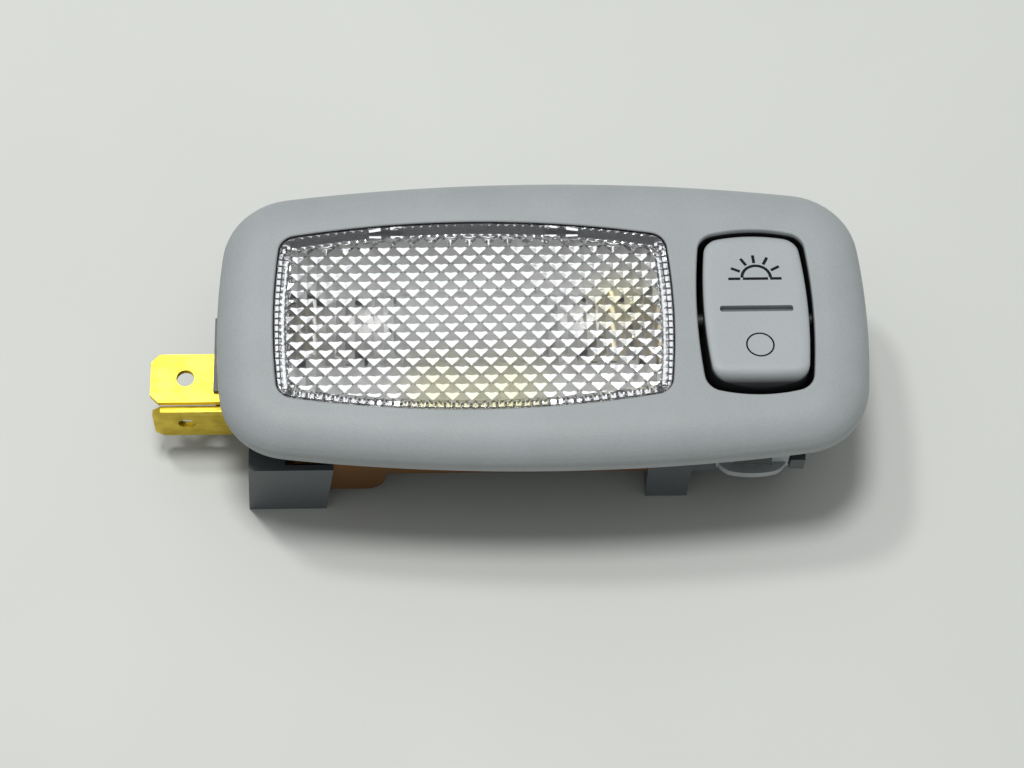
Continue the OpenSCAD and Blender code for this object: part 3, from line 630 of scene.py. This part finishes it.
def level_edges(bm, z):
    """The edges that lie in the plane at height z and border something steeper."""
    return [
        e for e in bm.edges
        if all(abs(v.co.z - z) < NEAR for v in e.verts)
        and any(abs(f.normal.z) < 0.5 for f in e.link_faces)]


def roll_top(bm, top, width, depth, segments):
    """Rounds the edges at height top in a quarter ellipse: stretches, bevels and squashes back."""
    stretch = width / depth
    bmesh.ops.scale(bm, verts=bm.verts[:], vec=(1, 1, stretch))
    bmesh.ops.bevel(
        bm, geom=level_edges(bm, top * stretch), offset=width, offset_type="OFFSET",
        segments=segments, profile=0.5, affect="EDGES", clamp_overlap=False, material=-1)
    bmesh.ops.scale(bm, verts=bm.verts[:], vec=(1, 1, 1 / stretch))


def closed(bm):
    """True if every edge of bm has two faces."""
    return all(len(e.link_faces) == 2 for e in bm.edges)


# %% Objects from bmeshes
IMPORTED_NORMALS = "custom_normal"


def piece_from(name, bm):
    """A new object at the origin with the bmesh as its mesh, without a copied mesh's normals."""
    print(name, "closed" if closed(bm) else "OPEN", len(bm.faces), "faces")
    mesh = bpy.data.meshes.new(name)
    bm.to_mesh(mesh)
    bm.free()
    if IMPORTED_NORMALS in mesh.attributes:
        mesh.attributes.remove(mesh.attributes[IMPORTED_NORMALS])
    made = bpy.data.objects.new(name, mesh)
    scene.collection.objects.link(made)
    return made


def as_bmesh(piece):
    bm = bmesh.new()
    bm.from_mesh(piece.data)
    return bm


def reshape(piece, work):
    """Runs work on the piece's mesh as a bmesh."""
    bm = as_bmesh(piece)
    work(bm)
    bm.to_mesh(piece.data)
    bm.free()


# %% Boolean work on pieces
def settle(piece):
    """Makes what the piece's modifiers give its own mesh."""
    rough, graph = piece.data, bpy.context.evaluated_depsgraph_get()
    piece.data = bpy.data.meshes.new_from_object(piece.evaluated_get(graph))
    piece.modifiers.clear()
    bpy.data.meshes.remove(rough)


def combine(piece, operation, *tools):
    """Joins each bmesh to the piece, or cuts it from it, and frees it."""
    for bm in tools:
        tool = piece_from("tool", bm)
        step = piece.modifiers.new("step", "BOOLEAN")
        step.operation = operation
        step.solver = "EXACT"
        step.object = tool
        settle(piece)
        bpy.data.objects.remove(tool)


# %% Shading and labels
CREASE = 32


def dress(piece, body, slot, skin, *nodes, crease=CREASE):
    """Shades the piece smooth up to a crease, gives it its material and body, and hides the nodes
    it replaces.
    """
    piece.data.materials.clear()
    piece.data.materials.append(skin)
    piece.data.shade_smooth()
    piece.data.set_sharp_from_angle(angle=radians(crease))
    even = piece.modifiers.new("even", "WEIGHTED_NORMAL")
    even.keep_sharp = True
    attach(piece, body)
    if nodes:
        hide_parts(*nodes)
    print(piece.name, "has", len(piece.data.polygons), "faces")


# %% [markdown]
# ## The bezel
#
# The bezel is one moulding. Its front rolls down to the rim in a quarter of an ellipse, 5 mm across
# and 2.7 mm deep. A bevel only makes circles, so the solid is stretched upwards first, bevelled by
# 5 mm and squashed back. A smaller copy of the same form is the core that hollows it.

# %% Bezel dimensions
BEZEL = dict(
    half_l=37.8 * MM, half_w=18.45 * MM, side_r=240 * MM, end_r=85 * MM, corner_r=8.4 * MM)
LENS_WINDOW = dict(
    half_l=23.1 * MM, half_w=12.15 * MM, side_r=129 * MM, end_r=77 * MM, corner_r=2.1 * MM)
ROCKER_WINDOW = dict(
    half_l=6.74 * MM, half_w=10.7 * MM, side_r=19.4 * MM, end_r=71.7 * MM, corner_r=2.2 * MM)
LENS_STEPS = (6, 8, 16)
FACE_Z = 3.6 * MM
WALL = 1.5 * MM
PLATE_Z = FACE_Z - WALL
ROLL = 5 * MM
ROLL_STEPS = 14
LIP = 0.9 * MM
CORE_LIP = 0.3 * MM
PAST = 1 * MM
OVERLAP = 0.01 * MM
bridge = ROCKER_X - ROCKER_WINDOW["half_l"] - LENS_X - LENS_WINDOW["half_l"]
print("bridge between the windows in mm:", round(bridge / MM, 2))


# %% Rolled form and window cutters
def rolled_form(inset, lip, top):
    """A solid of the front's outline whose top edge rolls over in a quarter ellipse."""
    bm = raised(barrel(**BEZEL, inset=inset), 0, top)
    roll_top(bm, top, ROLL, top - lip, ROLL_STEPS)
    return bm


def lens_opening():
    outline = barrel(**LENS_WINDOW, steps=LENS_STEPS)
    return moved(raised(outline, PLATE_Z - PAST, FACE_Z + PAST), x=LENS_X)


def rocker_opening(inset, low, high):
    outline = barrel(**ROCKER_WINDOW, inset=inset, steps=(12, 10, 8))
    return moved(raised(outline, low, high), x=ROCKER_X)


bezel = piece_from("bezel_shell", rolled_form(0, LIP, FACE_Z))
combine(bezel, "DIFFERENCE", moved(rolled_form(WALL, CORE_LIP, PLATE_Z), z=-OVERLAP))

# %% [markdown]
# Under the front hang the switch well, two sprung bows that grip the panel, and four hooked arms
# that snap into the housing. The well's two long walls hold the rocker's pins and its end ledges
# stop the rocker. A bow is a bulged plate with a slot behind it, so that it springs, and stands on
# two legs. An arm is a box whose inner face is cut twice and pulled out into a hook.

# %% Sprung bow
INTO_PLATE = PLATE_Z + WALL / 4
BOW = dict(
    half_l=4.15 * MM, half_w=3 * MM, side_r=12 * MM, end_r=60 * MM, corner_r=2.2 * MM)
BOW_X = 24.05 * MM
BOW_Y = 16.7 * MM
BOW_T = 1 * MM
BOW_Z = (-6.2 * MM, -5.1 * MM)
BOW_SLOT = 2.2 * MM
BOW_LEG_Y = (14.1 * MM, 15.3 * MM)


def bow(low, high):
    """A bulged plate, cut off straight towards the lamp, between two heights."""
    bm = moved(raised(barrel(**BOW, steps=(6, 8, 12)), low, high), BOW_X, BOW["half_w"] - BOW_Y)
    cut = bmesh.ops.bisect_plane(
        bm, geom=bm.verts[:] + bm.edges[:] + bm.faces[:], plane_co=(0, -BOW_LEG_Y[0], 0),
        plane_no=(0, 1, 0), clear_outer=True)
    rim = [e for e in cut["geom_cut"] if isinstance(e, bmesh.types.BMEdge)]
    bmesh.ops.holes_fill(bm, edges=rim)
    return bm


def bow_slot():
    return blocks((
        (BOW_X - BOW_SLOT, -BOW_Y + BOW_T, BOW_Z[0] - PAST),
        (BOW_X + BOW_SLOT, 0, BOW_Z[1] + PAST)))


def bow_legs():
    """The two posts that hold the bow under the front."""
    spans = ((BOW_X - BOW["half_l"], BOW_X - BOW_SLOT), (BOW_X + BOW_SLOT, BOW_X + BOW["half_l"]))
    return blocks(*(
        ((low, -BOW_LEG_Y[1], BOW_Z[0]), (high, -BOW_LEG_Y[0], INTO_PLATE)) for low, high in spans))


# %% Snap arms
ARM_X = (-20 * MM, 5 * MM)
ARM_HALF = 2 * MM
ARM_Y = (13.95 * MM, 14.75 * MM)
ARM_LOW = -4.2 * MM
HOOK_Z = (-3.35 * MM, -2.25 * MM)
HOOK_OUT = 0.65 * MM
HOOK_LEAD = 0.55 * MM


def snap_arms():
    """Two arms with hooks whose lower edge slopes, so that they ride over the slot's edge."""
    bm = blocks(*(
        ((x - ARM_HALF, -ARM_Y[1], ARM_LOW), (x + ARM_HALF, -ARM_Y[0], INTO_PLATE)) for x in ARM_X))
    for z in HOOK_Z:
        bmesh.ops.bisect_plane(
            bm, geom=bm.verts[:] + bm.edges[:] + bm.faces[:], plane_co=(0, 0, z), plane_no=UP)
    inner = [
        f for f in bm.faces
        if f.normal.y > 0.9 and HOOK_Z[0] < f.calc_center_median().z < HOOK_Z[1]]
    made = bmesh.ops.extrude_discrete_faces(bm, faces=inner)
    for face in made["faces"]:
        for v in face.verts:
            v.co.y += HOOK_OUT
            if v.co.z < sum(HOOK_Z) / 2:
                v.co.z += HOOK_LEAD
    return bm


# %% Well, ledges and bores
WELL_WALL = 1.2 * MM
WELL_FLOOR = -6 * MM
STOP_HALF = 4 * MM
STOP_Y = (8.6 * MM, 10.9 * MM)
STOP_TOP = -4.35 * MM
PIVOT_Z = 1 * MM
BORE_R = 0.97 * MM
WELL_HALF = ROCKER_WINDOW["half_l"] + WELL_WALL

combine(bezel, "UNION", rocker_opening(-WELL_WALL, WELL_FLOOR, PLATE_Z + OVERLAP))
combine(bezel, "DIFFERENCE", lens_opening(), rocker_opening(0, WELL_FLOOR - PAST, FACE_Z + PAST))
combine(bezel, "UNION", both_sides(blocks((
    (ROCKER_X - STOP_HALF, -STOP_Y[1], WELL_FLOOR), (ROCKER_X + STOP_HALF, -STOP_Y[0], STOP_TOP)))))
combine(bezel, "DIFFERENCE", rod(
    BORE_R, (ROCKER_X - WELL_HALF - PAST, 0, PIVOT_Z), (ROCKER_X + WELL_HALF + PAST, 0, PIVOT_Z)))
spring = piece_from("bow", bow(*BOW_Z))
combine(spring, "DIFFERENCE", bow_slot())
combine(spring, "UNION", bow_legs())
combine(bezel, "UNION", both_sides(as_bmesh(spring)), both_sides(snap_arms()))
bpy.data.objects.remove(spring)

# %% [markdown]
# Moulded edges are never sharp. The rocker's window has a soft edge that shows as a lighter line
# round it, and the lens's window a tighter one. Both are bevels on the edges that lie in the front.

# %% Soft window edges
LENS_EDGE = 0.3 * MM
WINDOW_EDGE = 0.25 * MM


def soften_windows(bm):
    rims = level_edges(bm, FACE_Z)
    split = (LENS_X + LENS_WINDOW["half_l"] + ROCKER_X - ROCKER_WINDOW["half_l"]) / 2
    by_rocker = [e for e in rims if e.verts[0].co.x > split]
    by_lens = [e for e in rims if e.verts[0].co.x < split]
    print("window edges:", len(by_lens), "and", len(by_rocker))
    soften(bm, by_rocker, WINDOW_EDGE, 5)
    soften(bm, by_lens, LENS_EDGE, 4)


reshape(bezel, soften_windows)
dress(bezel, "lamp", "grey_plastic", grey_plastic, "bezel")

# %% [markdown]
# ## The rocker
#
# The rocker is modelled level on its pivot and turned last, so that every cut is a plain one. Its
# face is flat, its far end is crisp and its near end rolls down: strips are cut across that end,
# closer and closer together, and their points sink along an ellipse, more at the top than below.

# %% Rocker dimensions
ROCKER = dict(
    half_l=6.03 * MM, half_w=10.15 * MM, side_r=19.4 * MM, end_r=71.7 * MM, corner_r=2.2 * MM)
ROCKER_SHIFT = 0.08 * MM
ROCKER_RISE = 3 * MM
ROCKER_LOW = -4 * MM
ROCKER_EDGE = (1.2 * MM, 0.35 * MM)
ROCKER_EDGE_STEPS = 8
ROCKER_INSIDE = (5.3 * MM, 7.95 * MM)
ROCKER_TOP = 1.4 * MM
NEAR_ROLL = 2.5 * MM
NEAR_DROP = 1.9 * MM
NEAR_STRIPS = 8
PIN_R = 0.9 * MM
PIN_END = 7.7 * MM
SWITCH_ARM = (2.2 * MM, 1.9 * MM)
SWITCH_ARM_ROOT = 0.3 * MM
SWITCH_ARM_LOW = -10.6 * MM
BALL_BORE_R = 1.3 * MM
BALL_BORE_TOP = -5 * MM
BAR = dict(length=8.5 * MM, width=0.84 * MM, x=0.1 * MM, y=-0.29 * MM, depth=0.7 * MM, round=0.7)
side_gap = ROCKER_WINDOW["half_l"] - ROCKER["half_l"]
print("gap beside the rocker in mm:", round(side_gap / MM, 2))


# %% Rocker form
def rocker_form():
    """The rocker's outside, level, with round edges and a near end that rolls down."""
    bm = moved(raised(barrel(**ROCKER, steps=(10, 8, 10)), ROCKER_LOW, ROCKER_RISE), x=ROCKER_SHIFT)
    roll_top(bm, ROCKER_RISE, *ROCKER_EDGE, ROCKER_EDGE_STEPS)
    start = ROCKER["half_w"] - NEAR_ROLL
    for step in range(NEAR_STRIPS):
        reach = NEAR_ROLL * sin(pi / 2 * step / NEAR_STRIPS)
        bmesh.ops.bisect_plane(
            bm, geom=bm.verts[:] + bm.edges[:] + bm.faces[:], plane_co=(0, -start - reach, 0),
            plane_no=(0, 1, 0))
    for v in bm.verts:
        share = min(max(0, -v.co.y - start) / NEAR_ROLL, 1)
        v.co.z -= NEAR_DROP * (1 - sqrt(1 - share ** 2)) * max(0, v.co.z / ROCKER_RISE)
    return bm


def bar_slot():
    """The cutter for the shallow bar across the face, with rounded ends."""
    half_l, half_w = BAR["length"] / 2, BAR["width"] / 2
    bm = blocks((
        (-half_l, BAR["y"] - half_w, ROCKER_RISE - BAR["depth"]),
        (half_l, BAR["y"] + half_w, ROCKER_RISE + PAST)))
    upright = [e for e in bm.edges if abs(e.verts[0].co.z - e.verts[1].co.z) > NEAR]
    soften(bm, upright, half_w * BAR["round"], 4)
    return moved(bm, x=BAR["x"])


# %% Rocker solid
inner_a, inner_b = ROCKER_INSIDE
arm_a, arm_b = SWITCH_ARM
under_top = ROCKER_RISE - ROCKER_TOP

rocker = piece_from("rocker_cap", rocker_form())
combine(
    rocker, "DIFFERENCE",
    blocks(((-inner_a, -inner_b, ROCKER_LOW - PAST), (inner_a, inner_b, under_top))), bar_slot())
combine(
    rocker, "UNION",
    blocks(((-arm_a, -arm_b, SWITCH_ARM_LOW), (arm_a, arm_b, under_top + SWITCH_ARM_ROOT))),
    rod(PIN_R, (-PIN_END, 0, 0), (-inner_a, 0, 0)), rod(PIN_R, (inner_a, 0, 0), (PIN_END, 0, 0)))
combine(
    rocker, "DIFFERENCE",
    rod(BALL_BORE_R, (0, 0, SWITCH_ARM_LOW - PAST), (0, 0, BALL_BORE_TOP)))

TO_PIVOT = Matrix.Translation((ROCKER_X, 0, PIVOT_Z)) @ Matrix.Rotation(-ROCKER_TILT, 4, "X")
rocker.data.transform(TO_PIVOT)
dress(rocker, "rocker", "grey_plastic", rocker_plastic, "rocker")

# %% [markdown]
# ## The marks on the rocker
#
# A half sun over a horizon marks the lit end and a ring marks the other. They are hot stamped: a
# dark film pressed a little into the plastic. Each line is a thin solid that stands a hair proud,
# so it stays a clean shape in any view. Straight lines are boxes and curved ones are spun.

# %% Straight and bent lines
MARK_T = 0.05 * MM
MARK_PROUD = 0.012 * MM
MARK_Z = ROCKER_RISE + MARK_PROUD - MARK_T / 2
ARC_STEPS = 48
HALF_TURN = pi
FULL_TURN = 2 * pi


def line_mark(bm, middle_x, middle_y, length, width, turn=0.0):
    place = Matrix.Translation((middle_x, middle_y, MARK_Z)) @ Matrix.Rotation(turn, 4, "Z")
    bmesh.ops.create_cube(bm, size=1.0, matrix=place @ Matrix.Diagonal((length, width, MARK_T, 1)))


def arc_mark(x, y, radius, width, sweep):
    """A bent line from +X onwards, from a small upright rectangle spun about (x, y)."""
    bm = bmesh.new()
    section = Matrix.Rotation(pi / 2, 4, "X") @ Matrix.Diagonal((width, MARK_T, 1, 1))
    bmesh.ops.create_grid(bm, x_segments=1, y_segments=1, size=0.5, matrix=section)
    moved(bm, x=radius)
    bmesh.ops.spin(
        bm, geom=bm.faces[:], cent=(0, 0, 0), axis=(0, 0, 1), angle=sweep, steps=ARC_STEPS,
        use_merge=sweep == FULL_TURN)
    bmesh.ops.remove_doubles(bm, verts=bm.verts[:], dist=NEAR)
    bmesh.ops.holes_fill(bm, edges=bm.edges[:], sides=4)
    bmesh.ops.recalc_face_normals(bm, faces=bm.faces[:])
    return moved(bm, x, y, MARK_Z)


# %% Half sun, horizon and ring
RING = dict(x=0.15 * MM, y=-5.3 * MM, radius=1.55 * MM, width=0.2 * MM)
SUN_X = 0.38 * MM
SUN_Y = 3.9 * MM
SUN_R = 1.66 * MM
SUN_RISE = 0.16 * MM
SUN_LINE = 0.36 * MM
HORIZON = ((-2.9 * MM, -1.5 * MM), (-1.2 * MM, 1.75 * MM), (1.98 * MM, 3.32 * MM))
RAY_FROM = 2.05 * MM
RAY_TO = 3.17 * MM
RAY_W = 0.36 * MM
RAY_ANGLES = (29.5, 63, 94, 122, 155)


def straight_marks():
    bm = bmesh.new()
    for low, high in HORIZON:
        line_mark(bm, (low + high) / 2, SUN_Y, high - low, SUN_LINE)
    for angle in map(radians, RAY_ANGLES):
        reach = (RAY_FROM + RAY_TO) / 2
        line_mark(
            bm, SUN_X + reach * cos(angle), SUN_Y + SUN_RISE + reach * sin(angle),
            RAY_TO - RAY_FROM, RAY_W, angle)
    return bm


for name, shape in (
        ("sun_lines", straight_marks()),
        ("sun_arc", arc_mark(SUN_X, SUN_Y + SUN_RISE, SUN_R, SUN_LINE, HALF_TURN)),
        ("ring_mark", arc_mark(**RING, sweep=FULL_TURN))):
    mark = piece_from(name, shape)
    mark.data.transform(TO_PIVOT)
    dress(mark, "rocker", "grey_plastic", mark_ink)

# %% [markdown]
# ## Construction pieces with softened edges
#
# The housing, the blades, the contacts and the bulb have their full shape in the construction
# model, with knife-sharp edges. Remodelling them would gain nothing, so each is copied, its loose
# triangles are merged into clean faces, and its sharp edges get a narrow bevel that catches light.

# %% Softened copies
FLAT = radians(0.5)
SOFT_CREASE = 35
HOUSING_EDGE = 0.15 * MM
BLADE_EDGE = 0.28 * MM
LEAF_EDGE = 0.04 * MM


def merged(node):
    """A bmesh of a construction piece whose loose triangles are joined into flat faces."""
    bm = bmesh.new()
    bm.from_mesh(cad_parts[node].data)
    bmesh.ops.remove_doubles(bm, verts=bm.verts[:], dist=NEAR)
    bmesh.ops.dissolve_limit(
        bm, angle_limit=FLAT, verts=bm.verts[:], edges=bm.edges[:], use_dissolve_boundaries=False)
    return bm


def softened(node, body, slot, skin, width):
    """A dressed copy of a construction piece. Its sharp edges get a bevel where width isn't 0."""
    bm = merged(node)
    if width:
        sharp = [
            e for e in bm.edges
            if len(e.link_faces) == 2 and e.calc_face_angle() > radians(SOFT_CREASE)]
        soften(bm, sharp, width, 2)
    dress(piece_from(node + "_soft", bm), body, slot, skin, node, crease=SOFT_CREASE)


SOFT_PIECES = (
    ("housing", "lamp", "dark_plastic", slate_plastic, HOUSING_EDGE),
    ("reflector", "lamp", "white_metal", white_enamel, 0.0),
    ("bulb_glass", "lamp", "bulb_glass", bulb_glass, 0.0),
    ("bulb_cap_left", "lamp", "cap_metal", nickel, 0.0),
    ("bulb_cap_right", "lamp", "cap_metal", nickel, 0.0),
    ("bulb_filament", "lamp", "filament", tungsten, 0.0),
    ("bulb_leads", "lamp", "cap_metal", nickel, 0.0),
    ("supply_terminal", "lamp", "brass", supply_brass, BLADE_EDGE),
    ("earth_strip", "lamp", "brass", earth_brass_painted_shade, BLADE_EDGE),
    ("lamp_contact_left", "lamp", "cap_metal", nickel, LEAF_EDGE),
    ("lamp_contact_right", "lamp", "contact_bronze", bronze, LEAF_EDGE),
    ("contact_rivets", "lamp", "cap_metal", nickel, 0.0),
    ("contact_bridge", "rocker", "contact_bronze", bronze, LEAF_EDGE),
    ("detent_spring", "rocker", "steel", steel, 0.0),
    ("detent_ball", "rocker", "steel", steel, 0.0),
)
for node, body, slot, skin, width in SOFT_PIECES:
    softened(node, body, slot, skin, width)

# %% [markdown]
# ## The lens and its beaded border
#
# The prisms are exact in the construction model, so the lens is a copy with a rounder face edge.
# Its skirt is cut off a little higher, to make room for the beads of its border.

# %% Lens
LENS_TOP = 3.48 * MM
LENS_ROUND = 0.15 * MM
SKIRT_LOW = 1.14 * MM


def without_foot(bm, z):
    """Cuts off what is below z and closes the cut, islands and holes alike."""
    cut = bmesh.ops.bisect_plane(
        bm, geom=bm.verts[:] + bm.edges[:] + bm.faces[:], plane_co=(0, 0, z), plane_no=(0, 0, 1),
        clear_inner=True)
    rims = [e for e in cut["geom_cut"] if isinstance(e, bmesh.types.BMEdge)]
    bmesh.ops.triangle_fill(bm, use_beauty=True, use_dissolve=False, edges=rims)
    bmesh.ops.recalc_face_normals(bm, faces=bm.faces[:])
    return bm


bm = merged("lens")
soften(bm, level_edges(bm, LENS_TOP), LENS_ROUND, 3)
lens = piece_from("lens_clear", without_foot(bm, SKIRT_LOW))
dress(lens, "lamp", "clear_lens", clear_lens, "lens")

# %% [markdown]
# The border glitters: beads hang under it. Round pearls would be the plain way, but each is a small
# roof whose ridge points at the viewer and whose slopes stand at 45 degrees, so that light from
# above turns back in it twice, and a roof has few faces. The beads hang from the vertices of a
# drawn-in outline whose steps are a bead apart. The ends have a second, outer row of short ones.

# %% One bead
BEAD_TOP = SKIRT_LOW - 0.005 * MM


def bead(bm, x, y, width, length):
    """A small roof that hangs from the skirt, its ridge along Y and its slopes at 45 degrees."""
    place = Matrix.Translation((x, y, BEAD_TOP - width / 4))
    made = bmesh.ops.create_cube(
        bm, size=1.0, matrix=place @ Matrix.Diagonal((width, length, width / 2, 1)))
    for v in made["verts"]:
        if v.co.z < BEAD_TOP - NEAR:
            v.co.x = x


# %% Rows of beads
BEAD_CREASE = 10
BEAD_STEPS = (10, 3, 21)
BEAD_ROW = 1.02 * MM
BEAD_END = (0.84 * MM, 0.66 * MM)
BEAD_FAR = (0.8 * MM, 0.38 * MM)
BEAD_FAR_OUT = 0.05 * MM
BEAD_NEAR = (0.62 * MM, 0.8 * MM)
BEAD_NEAR_IN = 0.2 * MM
OUTER_ROW = 0.31 * MM
OUTER_END = (0.36 * MM, 0.62 * MM)
OUTER_Y = LENS_WINDOW["half_w"] - 1.5 * MM
END_FROM = 21.4 * MM


def bead_places(inset):
    """The vertices of the lens window's outline, drawn in by inset."""
    line = barrel(**LENS_WINDOW, inset=inset, steps=BEAD_STEPS)
    places = [v.co.copy() for v in line.verts]
    line.free()
    return places


def beads():
    bm = bmesh.new()
    for place in bead_places(BEAD_ROW):
        if abs(place.x) > END_FROM:
            bead(bm, LENS_X + place.x, place.y, *BEAD_END)
        elif place.y > 0:
            bead(bm, LENS_X + place.x, place.y + BEAD_FAR_OUT, *BEAD_FAR)
        else:
            bead(bm, LENS_X + place.x, place.y + BEAD_NEAR_IN, *BEAD_NEAR)
    for place in bead_places(OUTER_ROW):
        if abs(place.x) > END_FROM and place.y < OUTER_Y:
            bead(bm, LENS_X + place.x, place.y, *OUTER_END)
    bmesh.ops.remove_doubles(bm, verts=bm.verts[:], dist=NEAR)
    bmesh.ops.recalc_face_normals(bm, faces=bm.faces[:])
    return bm


dress(piece_from("lens_beads", beads()), "lamp", "clear_lens", clear_lens, crease=BEAD_CREASE)

# %% [markdown]
# A flat black ring under the lens's border is painted shade: it makes the dark band along the far
# edge and the dark ground between the beads. One outline less a smaller one makes the ring.

# %% Ring of painted shade under the border
BORDER_SHADE_INSETS = (-0.6 * MM, 1.3 * MM)
BORDER_SHADE_Z = (0.62 * MM, 0.7 * MM)


def lens_slab(inset, low, high):
    """A slab with the outline of the lens's window, drawn in by inset."""
    outline = barrel(**LENS_WINDOW, inset=inset, steps=LENS_STEPS)
    return moved(raised(outline, low, high), x=LENS_X)


border_shade_ring = piece_from("lens_border_shade", lens_slab(BORDER_SHADE_INSETS[0], *BORDER_SHADE_Z))
combine(border_shade_ring, "DIFFERENCE", lens_slab(BORDER_SHADE_INSETS[1], BORDER_SHADE_Z[0] - PAST, BORDER_SHADE_Z[1] + PAST))
dress(border_shade_ring, "lamp", "dark_plastic", border_painted_shade)

# %% [markdown]
# ## Sizes
#
# Both boxes, the construction's and the dressed lamp's, are printed side by side. The
# dressed lamp may not outgrow its construction.

seen_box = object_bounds()
for name, box in (("cad", cad_box), ("visual", seen_box)):
    print(name, [round(v / MM, 2) for corner in box for v in corner])
